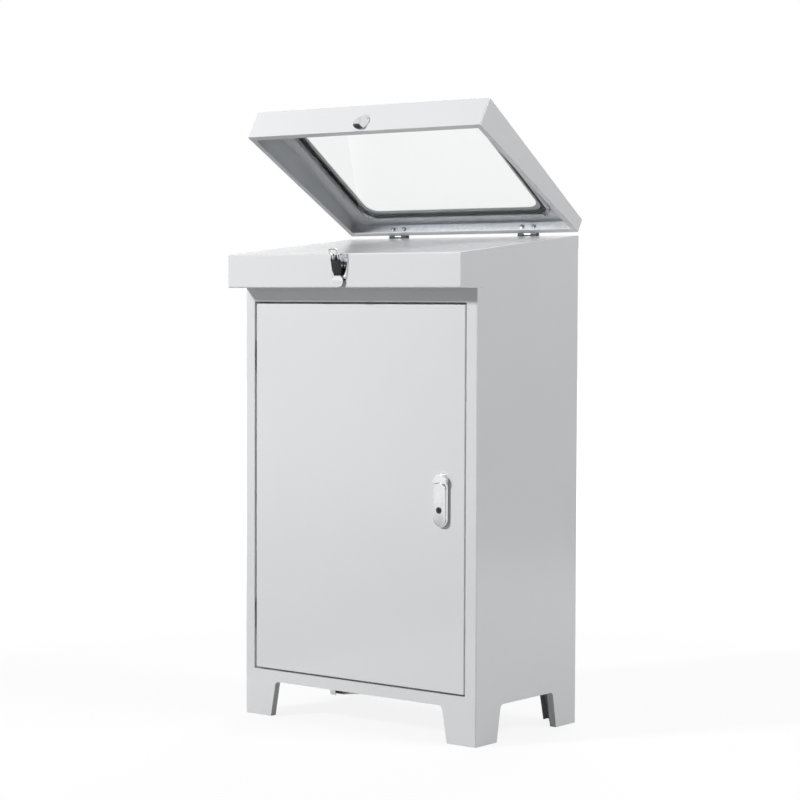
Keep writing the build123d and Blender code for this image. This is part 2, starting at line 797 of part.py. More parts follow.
def glass_outline(overlap, radius):
    return rect(-window_half - overlap, window_half + overlap, window_front - overlap,
                window_rear + overlap, radius)


def make_lid_glass():
    top = -lid_sheet - gasket_thickness
    return lid_roof * above(glass_outline(glass_overlap, glass_radius), top - glass_thickness,
                            glass_thickness)


def make_glass_gasket():
    ring = glass_outline(gasket_overlap, glass_radius)
    ring -= glass_outline(gasket_setback, window_radius)
    return lid_roof * above(ring, -lid_sheet - gasket_thickness, gasket_thickness)


# Z-shaped clamping strips in the lid's roof: each has a foot beside the glass and a lip under it.
def retainer_section():
    drop = lid_sheet + gasket_thickness + glass_thickness
    edge = glass_overlap + retainer_clearance
    step = edge + retainer_sheet
    top = -lid_sheet
    return Polygon((step + retainer_foot, top), (edge, top), (edge, -drop), (gasket_overlap, -drop),
                   (gasket_overlap, -drop - retainer_sheet), (step, -drop - retainer_sheet),
                   (step, top - retainer_sheet), (step + retainer_foot, top - retainer_sheet),
                   align=None)


def retainer_stud_offset():
    return glass_overlap + retainer_clearance + retainer_sheet + retainer_foot / 2


def make_side_retainer():
    length = window_rear - window_front
    strip = Pos(window_half, 0, 0) * behind(retainer_section(), window_front, length)
    return strip - retainer_holes()


def make_end_retainer(at, toward):
    plane = Plane(origin=(-window_half, at, 0), x_dir=(0, toward, 0), z_dir=(toward, 0, 0))
    strip = extrude(plane * retainer_section(), amount=2 * window_half, dir=(1, 0, 0))
    return strip - retainer_holes()


def retainer_holes():
    return [above(disc(x, y, retainer_stud_radius + hole_clearance), -lid_rear_depth, lid_rear_depth)
            for x, y in retainer_stud_places()]


def retainer_stud_places():
    reach = retainer_stud_offset()
    length = window_rear - window_front
    middle = (window_front + window_rear) / 2
    sides = [(side * (window_half + reach), middle + share * length)
             for side in (-1, 1) for share in side_stud_shares]
    ends = [(share * 2 * window_half, at) for at in (window_front - reach, window_rear + reach)
            for share in end_stud_shares]
    return sides + ends


def make_retainer_nuts():
    top = -lid_sheet
    low = top - retainer_sheet - retainer_nut_height
    pieces = []
    for x, y in retainer_stud_places():
        stud = above(disc(x, y, retainer_stud_radius), top - retainer_stud_length, retainer_stud_length)
        nut = above(hexagon(x, y, retainer_nut_flats) - disc(x, y, retainer_stud_radius), low,
                    retainer_nut_height)
        pieces += [lid_roof * stud, lid_roof * nut]
    return group(pieces)


# Stiffening strip inside the lid's rear wall, its ends cut on the slant.
def make_lid_hinge_strip():
    half = half_width - strip_end_gap
    slant = strip_high - strip_low
    outline = Polygon((-half, strip_low), (half, strip_low), (half - slant, strip_high),
                      (slant - half, strip_high), align=None)
    for x in lid_bolt_places():
        outline -= disc(x, lid_bolt_height, bolt_radius + hole_clearance)
    return behind(outline, -lid_sheet - strip_thickness, strip_thickness)


def lid_bolt_places():
    return [side * lid_hinge_x + step for side in (-1, 1)
            for step in (-lid_bolt_pitch / 2, lid_bolt_pitch / 2)]


def leaf_holes(centre_x, height, y):
    holes = [behind(disc(centre_x + step, height, bolt_radius + hole_clearance), y, lid_leaf)
             for step in (-lid_bolt_pitch / 2, lid_bolt_pitch / 2)]
    return holes


# Fixed leaf on the back of the body, with the two outer knuckles.
def make_body_leaf(centre_x):
    half = lid_hinge_width / 2
    low = rear_height - lid_leaf_height
    high = rear_height - fold_radius
    leaf = behind(rect(centre_x - half, centre_x + half, low, high, lid_leaf_corner), back_y, lid_leaf)
    inner = lid_knuckle / 2 + end_clearance
    for side_low, side_high in ((-half, -inner), (inner, half)):
        width = side_high - side_low
        tab = rect(back_y, back_y + lid_leaf, high - lid_leaf_corner, lid_axis_z)
        leaf += across(tab + disc(lid_axis_y, lid_axis_z, lid_barrel_radius), centre_x + side_low, width)
        leaf -= across(disc(lid_axis_y, lid_axis_z, lid_pin_radius), centre_x + side_low, width)
    for hole in leaf_holes(centre_x, rear_height - lid_bolt_height, back_y):
        leaf -= hole
    return leaf


# Moving leaf on the back of the lid, with the middle knuckle.
def make_lid_leaf(centre_x):
    half = lid_hinge_width / 2
    low = lid_axis_local.Z + lid_barrel_radius + lid_leaf_clear
    leaf = behind(rect(centre_x - half, centre_x + half, low, lid_leaf_height, lid_leaf_corner), 0, lid_leaf)
    tab = rect(0, lid_leaf, lid_axis_local.Z, low + lid_leaf_corner)
    knuckle = tab + disc(lid_axis_local.Y, lid_axis_local.Z, lid_barrel_radius)
    left = centre_x - lid_knuckle / 2
    leaf += across(knuckle, left, lid_knuckle)
    leaf -= across(disc(lid_axis_local.Y, lid_axis_local.Z, lid_pin_radius + running_clearance), left,
                   lid_knuckle)
    for hole in leaf_holes(centre_x, lid_bolt_height, 0):
        leaf -= hole
    return leaf


def make_lid_hinge_pin(centre_x):
    return across(disc(lid_axis_y, lid_axis_z, lid_pin_radius), centre_x - lid_hinge_width / 2,
                  lid_hinge_width)


# Bolt through a rear wall: head outside on the leaf, nut inside.
def leaf_bolts(height, leaf_y, inside_y):
    pieces = []
    outside = leaf_y + lid_leaf
    for x in lid_bolt_places():
        head = behind(disc(x, height, bolt_head_radius), outside, bolt_head)
        head = fillet(head.edges().group_by(Axis.Y)[-1], edge_round)
        shank = behind(disc(x, height, bolt_radius), inside_y - bolt_nut_height,
                       outside - inside_y + bolt_nut_height)
        nut = behind(hexagon(x, height, bolt_nut_flats) - disc(x, height, bolt_radius),
                     inside_y - bolt_nut_height, bolt_nut_height)
        pieces += [head + shank, nut]
    return group(pieces)


def latch_rivet_places():
    low = latch_rivet_spread / 2
    high = latch_upper_rivet_spread / 2
    return [(-low, latch_rivet_height), (low, latch_rivet_height), (-high, latch_upper_rivet_height),
            (high, latch_upper_rivet_height)]


# Latch base: tapered plate with round corners and two ears folded forward beside the lever.
def make_latch_base():
    half = latch_width / 2
    foot = latch_foot_width / 2
    shoulder = lever_pivot_height - ear_length / 2
    top_left, top_right = (-half, latch_top), (half, latch_top)
    low_left, low_right = (-foot, latch_bottom), (foot, latch_bottom)
    outline = Polygon(low_left, low_right, (half, shoulder), top_right, top_left, (-half, shoulder),
                      align=None)
    outline = fillet(corners(outline, low_left, low_right), latch_foot_radius)
    outline = fillet(corners(outline, top_left, top_right), latch_top_radius)
    for x, z in latch_rivet_places():
        outline -= disc(x, z, latch_rivet_radius + hole_clearance)
    base = behind(outline, nose_y - latch_sheet, latch_sheet)
    ear_front = nose_y - ear_reach
    ear = rect(ear_front, nose_y, shoulder, latch_top)
    ear = fillet(corners(ear, (ear_front, shoulder), (ear_front, latch_top)), ear_radius)
    ear -= disc(lever_pivot_y, lever_pivot_height, pivot_rivet_radius)
    right = across(ear, ear_inner, latch_sheet)
    return base + right + mirrored(right)


def make_latch_rivets():
    pieces = []
    for x, z in latch_rivet_places():
        head = behind(disc(x, z, latch_rivet_head_radius), nose_y - latch_sheet - latch_rivet_head,
                      latch_rivet_head)
        head = fillet(head.edges().group_by(Axis.Y)[0], edge_round)
        shank = behind(disc(x, z, latch_rivet_radius), nose_y - latch_sheet, latch_sheet + sheet)
        tail = behind(disc(x, z, latch_rivet_head_radius), nose_y + sheet, latch_rivet_head)
        pieces.append(head + shank + tail)
    return group(pieces)


# Lever: a sheet folded from its upright face down to a round thumb tip, with two cheeks that
# carry both pivots. The face stops short of the top, so that the bail can lean out over it.
def make_latch_lever():
    half = lever_half_width
    neck = lever_neck_half_width
    strip_end = lever_tip_height - lever_tip_radius - cut_overrun
    face_y, neck_y, tip_y = nose_y - lever_face_reach, nose_y - lever_neck_reach, nose_y - lever_tip_reach
    profile = folded(((face_y, lever_face_top), (face_y, lever_bend_height), (neck_y, lever_neck_height),
                      (tip_y, strip_end)), latch_sheet, lever_bend)
    outline = Polygon((-neck, lever_tip_height), (neck, lever_tip_height), (neck, lever_neck_height),
                      (half, lever_taper_height), (half, lever_face_top), (-half, lever_face_top),
                      (-half, lever_taper_height), (-neck, lever_neck_height), align=None)
    outline += make_hull((disc(-lever_tip_spread, lever_tip_height, lever_tip_radius)
                          + disc(lever_tip_spread, lever_tip_height, lever_tip_radius)).edges())
    wide = lever_tip_spread + lever_tip_radius
    strip = across(profile, -wide, 2 * wide) & behind(outline, nose_y - 2 * lever_face_reach,
                                                      2 * lever_face_reach)
    back_y = nose_y - latch_sheet - lever_back_clear
    drop = (lever_bend_height - lever_taper_height) / (lever_bend_height - lever_neck_height)
    front_y = face_y + latch_sheet / 2
    low_y = front_y + (neck_y - face_y) * drop
    cheek = Polygon((front_y, lever_bend_height), (front_y, lever_face_top + cheek_top_half),
                    (face_y + cheek_top_half, lever_top_height),
                    (lever_pivot_y + cheek_top_half / 2, lever_top_height),
                    (back_y, lever_pivot_height - cheek_nose), (back_y, bail_pivot_z - cheek_top_half),
                    (low_y, lever_taper_height), align=None)
    cheek -= disc(lever_pivot_y, lever_pivot_height, pivot_rivet_radius + running_clearance)
    cheek -= disc(bail_pivot_y, bail_pivot_z, bail_wire_radius + running_clearance)
    right = across(cheek, half - latch_sheet, latch_sheet)
    return strip + right + mirrored(right)


def make_latch_pivots():
    outer = ear_inner + latch_sheet
    inner = lever_half_width - latch_sheet
    shank = across(disc(lever_pivot_y, lever_pivot_height, pivot_rivet_radius), inner, outer - inner)
    head = across(disc(lever_pivot_y, lever_pivot_height, pivot_rivet_head_radius), outer, pivot_rivet_head)
    right = shank + fillet(head.edges().group_by(Axis.X)[-1], edge_round)
    return group((right, mirrored(right)))


# Wire bail, its two ends turned out through the lever's cheeks; the loop widens to pass over the hook.
def make_latch_bail():
    out = lever_half_width
    side = bail_half_width
    loop = bail_loop_half_width
    flared = bail_flare_start + bail_flare_rise
    right = ((loop, bail_length), (loop, flared), (side, bail_flare_start), (side, 0), (out, 0))
    left = tuple((-u, v) for u, v in reversed(right))
    path = FilletPolyline(*left, *right, radius=bail_bend)
    path = Plane(origin=(0, 0, 0), x_dir=(1, 0, 0), z_dir=(0, -1, 0)) * path
    start = Plane(origin=(-out, 0, 0), z_dir=(1, 0, 0))
    wire = sweep(start * Circle(bail_wire_radius), path=path)
    return Pos(0, bail_pivot_y, bail_pivot_z) * Rot(bail_lean_angle, 0, 0) * wire


def keeper_rivet_places():
    return [-keeper_rivet_spread / 2, keeper_rivet_spread / 2]


# Keeper on the lid's front wall: round-topped plate with a hook that turns out and up.
def make_latch_keeper():
    half = keeper_width / 2
    wall = -lid_length
    hook_half = keeper_hook_width / 2
    plate = make_hull((disc(0, keeper_high - half, half)
                       + rect(-hook_half, hook_half, keeper_low, keeper_high - half)).edges())
    for x in keeper_rivet_places():
        plate -= disc(x, keeper_rivet_height, latch_rivet_radius + hole_clearance)
    seat = hooked_wire.Z - bail_wire_radius - keeper_slack
    lip = hooked_wire.Y - bail_wire_radius - keeper_slack
    foot = seat - keeper_sheet
    outside = lip - keeper_sheet
    hook = folded(((wall, foot), (outside, foot), (outside, seat + keeper_lip)), keeper_sheet, keeper_bend,
                  Side.RIGHT)
    keeper = behind(plate, wall - keeper_sheet, keeper_sheet)
    return keeper + across(hook, -hook_half, keeper_hook_width)


def make_keeper_rivets():
    pieces = []
    wall = -lid_length
    for x in keeper_rivet_places():
        head = behind(disc(x, keeper_rivet_height, latch_rivet_head_radius),
                      wall - keeper_sheet - latch_rivet_head, latch_rivet_head)
        head = fillet(head.edges().group_by(Axis.Y)[0], edge_round)
        shank = behind(disc(x, keeper_rivet_height, latch_rivet_radius), wall - keeper_sheet,
                       keeper_sheet + lid_sheet)
        tail = behind(disc(x, keeper_rivet_height, latch_rivet_head_radius), wall + lid_sheet,
                      latch_rivet_head)
        pieces.append(head + shank + tail)
    return group(pieces)


side_panel = make_side_panel()
side_retainer = make_side_retainer()
inside_strip_y = -lid_sheet - strip_thickness
nodes = {
    "right_side_panel": side_panel,
    "left_side_panel": mirrored(side_panel),
    "front_frame": make_front_frame(),
    "back_panel": make_back_panel(),
    "deck_panel": make_deck_panel(),
    "bottom_plate": make_bottom_plate(),
    "foot_plates": make_foot_plates(),
    "gland_plate": make_gland_plate(),
    "gland_grommets": make_gland_grommets(),
    "gland_screws": make_gland_screws(),
    "mounting_plate": make_mounting_plate(),
    "plate_standoffs": make_plate_standoffs(),
    "plate_nuts": make_plate_nuts(),
    "body_earth_stud": make_earth_stud(earth_stud_inset - inner_half, back_y - sheet, earth_stud_height, -1),
    "door_panel": make_door_panel(),
    "door_gasket": make_door_gasket(),
    "lock_housing": make_lock_housing(),
    "lock_clamp": make_lock_clamp(),
    "lock_clamp_screws": make_lock_clamp_screws(),
    "lock_spindle": make_lock_spindle(),
    "lock_handle": make_lock_handle(),
    "lock_handle_pin": make_lock_handle_pin(),
    "lock_button": make_lock_button(),
    "lock_cam": make_lock_cam(),
    "lock_cam_nut": make_lock_cam_nut(),
    "lid_shell": lid_pose * make_lid_shell(),
    "lid_glass": lid_pose * make_lid_glass(),
    "glass_gasket": lid_pose * make_glass_gasket(),
    "right_retainer": lid_pose * (lid_roof * side_retainer),
    "left_retainer": lid_pose * (lid_roof * mirrored(side_retainer)),
    "front_retainer": lid_pose * (lid_roof * make_end_retainer(window_front, -1)),
    "rear_retainer": lid_pose * (lid_roof * make_end_retainer(window_rear, 1)),
    "retainer_nuts": lid_pose * make_retainer_nuts(),
    "lid_hinge_strip": lid_pose * make_lid_hinge_strip(),
    "lid_leaf_bolts": lid_pose * leaf_bolts(lid_bolt_height, 0, inside_strip_y),
    "body_leaf_bolts": leaf_bolts(rear_height - lid_bolt_height, back_y, back_y - sheet),
    "latch_base": make_latch_base(),
    "latch_rivets": make_latch_rivets(),
    "latch_lever": make_latch_lever(),
    "latch_pivots": make_latch_pivots(),
    "latch_bail": make_latch_bail(),
    "latch_keeper": lid_pose * make_latch_keeper(),
    "keeper_rivets": lid_pose * make_keeper_rivets(),
}
for level, height in hinge_heights.items():
    nodes[f"{level}_hinge_bracket"] = make_hinge_bracket(height)
    nodes[f"{level}_hinge_pin"] = make_hinge_pin(height)
    nodes[f"{level}_hinge_leaf"] = make_hinge_leaf(height)
for hand, centre_x in (("left", -lid_hinge_x), ("right", lid_hinge_x)):
    nodes[f"{hand}_body_leaf"] = make_body_leaf(centre_x)
    nodes[f"{hand}_lid_leaf"] = lid_pose * make_lid_leaf(centre_x)
    nodes[f"{hand}_lid_pin"] = make_lid_hinge_pin(centre_x)

os.makedirs("parts", exist_ok=True)
for name, shape in nodes.items():
    export_step(shape, f"parts/{name}.step")
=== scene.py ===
import bpy
import bmesh
import json
import math
import numpy
from mathutils import Matrix, Vector


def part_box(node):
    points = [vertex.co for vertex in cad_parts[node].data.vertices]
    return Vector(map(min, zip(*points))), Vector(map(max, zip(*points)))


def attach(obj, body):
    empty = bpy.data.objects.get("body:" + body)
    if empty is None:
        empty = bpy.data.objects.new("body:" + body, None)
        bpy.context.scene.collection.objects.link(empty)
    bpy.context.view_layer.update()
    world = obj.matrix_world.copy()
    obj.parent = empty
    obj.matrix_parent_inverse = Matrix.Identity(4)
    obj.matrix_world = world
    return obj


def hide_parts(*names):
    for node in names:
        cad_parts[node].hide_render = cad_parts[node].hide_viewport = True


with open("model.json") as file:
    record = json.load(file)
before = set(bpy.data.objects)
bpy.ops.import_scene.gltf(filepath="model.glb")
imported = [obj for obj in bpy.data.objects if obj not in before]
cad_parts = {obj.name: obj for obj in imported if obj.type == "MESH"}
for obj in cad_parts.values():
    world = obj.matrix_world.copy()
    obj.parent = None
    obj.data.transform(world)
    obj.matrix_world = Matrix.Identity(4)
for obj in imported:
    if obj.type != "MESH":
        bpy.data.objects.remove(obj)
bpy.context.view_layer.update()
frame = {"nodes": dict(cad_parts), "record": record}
scene = bpy.context.scene
scene.view_settings.view_transform = "Standard"
print("frame loaded:", len(frame["nodes"]), "nodes")

mixShare, mixFirst, mixSecond, mixColour = 0, 6, 7, 2  # sockets of a Mix node that mixes colours
creaseAngle = 32.0  # degrees: steeper edges stay sharp on smooth-shaded pieces
weldGap = 1e-6  # metres: CAD triangles' corners closer than this are one corner


def linear(hexColour):
    channels = [int(hexColour[i:i + 2], 16) / 255 for i in (1, 3, 5)]
    return tuple(c / 12.92 if c <= 0.04045 else ((c + 0.055) / 1.055) ** 2.4
                 for c in channels) + (1.0,)


def addNode(tree, kind, inputs=None, **settings):
    node = tree.nodes.new(kind)
    for name, value in settings.items():
        setattr(node, name, value)
    for key, value in (inputs or {}).items():
        if isinstance(value, bpy.types.NodeSocket):
            tree.links.new(value, node.inputs[key])
        else:
            node.inputs[key].default_value = value
    return node


def startMaterial(name):
    material = bpy.data.materials.new(name)
    material.use_nodes = True
    tree = material.node_tree
    tree.nodes.clear()
    place = addNode(tree, "ShaderNodeTexCoord").outputs["Object"]
    return material, tree, place


def endMaterial(tree, shader):
    addNode(tree, "ShaderNodeOutputMaterial", {"Surface": shader.outputs[0]})


def waves(sizeMm):
    return 1000.0 / sizeMm  # noise scale on metres that gives features of this size


# Epoxy-polyester powder coat, sprayed and baked: light grey, glossy, with a fine orange peel.
paintLook = {"colour": "#dfe0e2", "deep": "#d9dbdd", "cloudMm": 260.0, "flowMm": 14.0,
             "roughLow": 0.13, "roughHigh": 0.22, "ior": 1.5,
             "peelMm": 1.6, "peelDepth": 0.00003, "peelStrength": 0.5}


def makePowderCoat():
    look = paintLook
    material, tree, place = startMaterial("powder coat light grey")
    cloud = addNode(tree, "ShaderNodeTexNoise", {
        "Vector": place, "Scale": waves(look["cloudMm"]), "Detail": 2.0})
    tint = addNode(tree, "ShaderNodeMix", {
        mixShare: cloud.outputs["Fac"], mixFirst: linear(look["colour"]),
        mixSecond: linear(look["deep"])}, data_type="RGBA")
    flow = addNode(tree, "ShaderNodeTexNoise", {
        "Vector": place, "Scale": waves(look["flowMm"]), "Detail": 3.0})
    rough = addNode(tree, "ShaderNodeMapRange", {
        "Value": flow.outputs["Fac"], "To Min": look["roughLow"], "To Max": look["roughHigh"]})
    peel = addNode(tree, "ShaderNodeTexNoise", {
        "Vector": place, "Scale": waves(look["peelMm"]), "Detail": 1.0})
    bump = addNode(tree, "ShaderNodeBump", {
        "Height": peel.outputs["Fac"], "Distance": look["peelDepth"],
        "Strength": look["peelStrength"]})
    shader = addNode(tree, "ShaderNodeBsdfPrincipled", {
        "Base Color": tint.outputs[mixColour], "Roughness": rough.outputs[0], "IOR": look["ior"],
        "Normal": bump.outputs[0]})
    endMaterial(tree, shader)
    return material


# Galvanised sheet, skin-passed after the bath: bright zinc, crystal spangles rolled almost flat.
zincSheetLook = {"colour": "#cfd2d6", "deep": "#c3c7cb", "spangleMm": 7.0,
                 "roughLow": 0.46, "roughHigh": 0.51,
                 "grainMm": 0.8, "grainDepth": 0.00002, "grainStrength": 0.25}


def makeGalvanisedSheet():
    look = zincSheetLook
    material, tree, place = startMaterial("galvanised steel sheet")
    spangle = addNode(tree, "ShaderNodeTexVoronoi", {
        "Vector": place, "Scale": waves(look["spangleMm"])})
    pick = addNode(tree, "ShaderNodeSeparateColor", {"Color": spangle.outputs["Color"]})
    tint = addNode(tree, "ShaderNodeMix", {
        mixShare: pick.outputs["Red"], mixFirst: linear(look["colour"]),
        mixSecond: linear(look["deep"])}, data_type="RGBA")
    rough = addNode(tree, "ShaderNodeMapRange", {
        "Value": pick.outputs["Green"], "To Min": look["roughLow"], "To Max": look["roughHigh"]})
    grain = addNode(tree, "ShaderNodeTexNoise", {
        "Vector": place, "Scale": waves(look["grainMm"]), "Detail": 2.0})
    bump = addNode(tree, "ShaderNodeBump", {
        "Height": grain.outputs["Fac"], "Distance": look["grainDepth"],
        "Strength": look["grainStrength"]})
    shader = addNode(tree, "ShaderNodeBsdfPrincipled", {
        "Base Color": tint.outputs[mixColour], "Roughness": rough.outputs[0], "Metallic": 1.0,
        "Normal": bump.outputs[0]})
    endMaterial(tree, shader)
    return material


# Zinc electroplate with clear passivation on turned and pressed fittings: satin, faintly blue.
platedLook = {"colour": "#c9ccd1", "deep": "#adb0b3", "stainMm": 5.0,
              "roughLow": 0.2, "roughHigh": 0.4,
              "grainMm": 0.5, "grainDepth": 0.00002, "grainStrength": 0.3}


def makeZincPlate():
    look = platedLook
    material, tree, place = startMaterial("zinc plated steel")
    stain = addNode(tree, "ShaderNodeTexNoise", {
        "Vector": place, "Scale": waves(look["stainMm"]), "Detail": 3.0})
    tint = addNode(tree, "ShaderNodeMix", {
        mixShare: stain.outputs["Fac"], mixFirst: linear(look["colour"]),
        mixSecond: linear(look["deep"])}, data_type="RGBA")
    rough = addNode(tree, "ShaderNodeMapRange", {
        "Value": stain.outputs["Fac"], "To Min": look["roughLow"], "To Max": look["roughHigh"]})
    grain = addNode(tree, "ShaderNodeTexNoise", {
        "Vector": place, "Scale": waves(look["grainMm"]), "Detail": 2.0})
    bump = addNode(tree, "ShaderNodeBump", {
        "Height": grain.outputs["Fac"], "Distance": look["grainDepth"],
        "Strength": look["grainStrength"]})
    shader = addNode(tree, "ShaderNodeBsdfPrincipled", {
        "Base Color": tint.outputs[mixColour], "Roughness": rough.outputs[0], "Metallic": 1.0,
        "Normal": bump.outputs[0]})
    endMaterial(tree, shader)
    return material


# Bright chrome plate over a polished die casting: near mirror, with faint handling haze.
chromeLook = {"colour": "#d9dbdd", "hazeMm": 9.0, "roughLow": 0.05, "roughHigh": 0.17,
              "castMm": 2.4, "castDepth": 0.00002, "castStrength": 0.25}


def makeChrome():
    look = chromeLook
    material, tree, place = startMaterial("bright chrome plate")
    haze = addNode(tree, "ShaderNodeTexNoise", {
        "Vector": place, "Scale": waves(look["hazeMm"]), "Detail": 4.0})
    rough = addNode(tree, "ShaderNodeMapRange", {
        "Value": haze.outputs["Fac"], "To Min": look["roughLow"], "To Max": look["roughHigh"]})
    cast = addNode(tree, "ShaderNodeTexNoise", {
        "Vector": place, "Scale": waves(look["castMm"]), "Detail": 1.0})
    bump = addNode(tree, "ShaderNodeBump", {
        "Height": cast.outputs["Fac"], "Distance": look["castDepth"],
        "Strength": look["castStrength"]})
    shader = addNode(tree, "ShaderNodeBsdfPrincipled", {
        "Base Color": linear(look["colour"]), "Roughness": rough.outputs[0], "Metallic": 1.0,
        "Normal": bump.outputs[0]})
    endMaterial(tree, shader)
    return material


# Extruded EPDM rubber: deep black, dull, with a fine grain and cloudy bloom.
rubberLook = {"colour": "#1b1b1c", "bloom": "#2c2c2d", "bloomMm": 7.0, "roughness": 0.62,
              "ior": 1.52, "grainMm": 0.6, "grainDepth": 0.00005, "grainStrength": 0.5}


def makeRubber():
    look = rubberLook
    material, tree, place = startMaterial("black EPDM rubber")
    bloom = addNode(tree, "ShaderNodeTexNoise", {
        "Vector": place, "Scale": waves(look["bloomMm"]), "Detail": 4.0})
    tint = addNode(tree, "ShaderNodeMix", {
        mixShare: bloom.outputs["Fac"], mixFirst: linear(look["colour"]),
        mixSecond: linear(look["bloom"])}, data_type="RGBA")
    grain = addNode(tree, "ShaderNodeTexNoise", {
        "Vector": place, "Scale": waves(look["grainMm"]), "Detail": 2.0})
    bump = addNode(tree, "ShaderNodeBump", {
        "Height": grain.outputs["Fac"], "Distance": look["grainDepth"],
        "Strength": look["grainStrength"]})
    shader = addNode(tree, "ShaderNodeBsdfPrincipled", {
        "Base Color": tint.outputs[mixColour], "Roughness": look["roughness"], "IOR": look["ior"],
        "Normal": bump.outputs[0]})
    endMaterial(tree, shader)
    return material


# Foamed-in-place polyurethane seal: charcoal, skinned over, with small open cells whose hollows
# are coloured darker as painted shade.
foamLook = {"colour": "#303132", "pitShade": "#1e1f20", "cellMm": 1.1, "cellRim": 0.5,
            "cellDepth": 0.0002, "cellStrength": 0.6, "roughness": 0.88, "ior": 1.45}


def makeSealFoam():
    look = foamLook
    material, tree, place = startMaterial("polyurethane seal foam")
    cells = addNode(tree, "ShaderNodeTexVoronoi", {
        "Vector": place, "Scale": waves(look["cellMm"])})
    # Colour darkens towards each cell's middle, where the bump sinks: painted shade in the pits.
    edge = addNode(tree, "ShaderNodeMapRange", {
        "Value": cells.outputs["Distance"], "From Min": 0.0, "From Max": look["cellRim"]})
    tint = addNode(tree, "ShaderNodeMix", {
        mixShare: edge.outputs[0], mixFirst: linear(look["pitShade"]),
        mixSecond: linear(look["colour"])}, data_type="RGBA")
    bump = addNode(tree, "ShaderNodeBump", {
        "Height": cells.outputs["Distance"], "Distance": look["cellDepth"],
        "Strength": look["cellStrength"]})
    shader = addNode(tree, "ShaderNodeBsdfPrincipled", {
        "Base Color": tint.outputs[mixColour], "Roughness": look["roughness"], "IOR": look["ior"],
        "Normal": bump.outputs[0]})
    endMaterial(tree, shader)
    return material


# Moulded ABS, spark-eroded tool finish: near black with a fine even grain.
plasticLook = {"colour": "#141415", "rub": "#232325", "rubMm": 4.0, "roughness": 0.42,
               "ior": 1.53, "grainMm": 0.35, "grainDepth": 0.00004, "grainStrength": 0.5}


def makeBlackPlastic():
    look = plasticLook
    material, tree, place = startMaterial("black ABS")
    rub = addNode(tree, "ShaderNodeTexNoise", {
        "Vector": place, "Scale": waves(look["rubMm"]), "Detail": 3.0})
    tint = addNode(tree, "ShaderNodeMix", {
        mixShare: rub.outputs["Fac"], mixFirst: linear(look["colour"]),
        mixSecond: linear(look["rub"])}, data_type="RGBA")
    grain = addNode(tree, "ShaderNodeTexNoise", {
        "Vector": place, "Scale": waves(look["grainMm"])})
    bump = addNode(tree, "ShaderNodeBump", {
        "Height": grain.outputs["Fac"], "Distance": look["grainDepth"],
        "Strength": look["grainStrength"]})
    shader = addNode(tree, "ShaderNodeBsdfPrincipled", {
        "Base Color": tint.outputs[mixColour], "Roughness": look["roughness"], "IOR": look["ior"],
        "Normal": bump.outputs[0]})
    endMaterial(tree, shader)
    return material


# Toughened soda-lime float glass: clear, a trace of green, faint smears that break up the gloss.
glassLook = {"colour": "#fcfefd", "smearMm": 60.0, "smearFrom": 0.5, "smearTo": 0.8,
             "roughLow": 0.0, "roughHigh": 0.02, "ior": 1.51}


def makeGlass():
    look = glassLook
    material, tree, place = startMaterial("toughened float glass")
    smear = addNode(tree, "ShaderNodeTexNoise", {
        "Vector": place, "Scale": waves(look["smearMm"]), "Detail": 4.0})
    rough = addNode(tree, "ShaderNodeMapRange", {
        "Value": smear.outputs["Fac"], "From Min": look["smearFrom"], "From Max": look["smearTo"],
        "To Min": look["roughLow"], "To Max": look["roughHigh"]})
    shader = addNode(tree, "ShaderNodeBsdfPrincipled", {
        "Base Color": linear(look["colour"]), "Roughness": rough.outputs[0], "IOR": look["ior"],
        "Transmission Weight": 1.0})
    endMaterial(tree, shader)
    return material


# Black oxide, a conversion coat on pressed steel: oiled, dark, with a soft sheen.
oxideLook = {"colour": "#27282a", "rub": "#4b4c50", "rubMm": 3.0, "metallic": 0.7,
             "roughLow": 0.22, "roughHigh": 0.4,
             "grainMm": 0.4, "grainDepth": 0.00002, "grainStrength": 0.3}


def makeBlackOxide():
    look = oxideLook
    material, tree, place = startMaterial("black oxide steel")
    rub = addNode(tree, "ShaderNodeTexNoise", {
        "Vector": place, "Scale": waves(look["rubMm"]), "Detail": 3.0})
    tint = addNode(tree, "ShaderNodeMix", {
        mixShare: rub.outputs["Fac"], mixFirst: linear(look["colour"]),
        mixSecond: linear(look["rub"])}, data_type="RGBA")
    rough = addNode(tree, "ShaderNodeMapRange", {
        "Value": rub.outputs["Fac"], "To Min": look["roughLow"], "To Max": look["roughHigh"]})
    grain = addNode(tree, "ShaderNodeTexNoise", {
        "Vector": place, "Scale": waves(look["grainMm"])})
    bump = addNode(tree, "ShaderNodeBump", {
        "Height": grain.outputs["Fac"], "Distance": look["grainDepth"],
        "Strength": look["grainStrength"]})
    shader = addNode(tree, "ShaderNodeBsdfPrincipled", {
        "Base Color": tint.outputs[mixColour], "Roughness": rough.outputs[0],
        "Metallic": look["metallic"], "Normal": bump.outputs[0]})
    endMaterial(tree, shader)
    return material


finishes = {
    "painted_steel": makePowderCoat(),
    "galvanised_sheet": makeGalvanisedSheet(),
    "zinc_plated_steel": makeZincPlate(),
    "chrome_plate": makeChrome(),
    "black_rubber": makeRubber(),
    "seal_foam": makeSealFoam(),
    "black_plastic": makeBlackPlastic(),
    "blackened_steel": makeBlackOxide(),
    "window_glass": makeGlass(),
}
for subpart in frame["record"]["subparts"]:
    part = frame["nodes"][subpart["node"]]
    part.data.materials.clear()
    part.data.materials.append(finishes[subpart["material_slot"]])
print("materials made:", len(finishes))


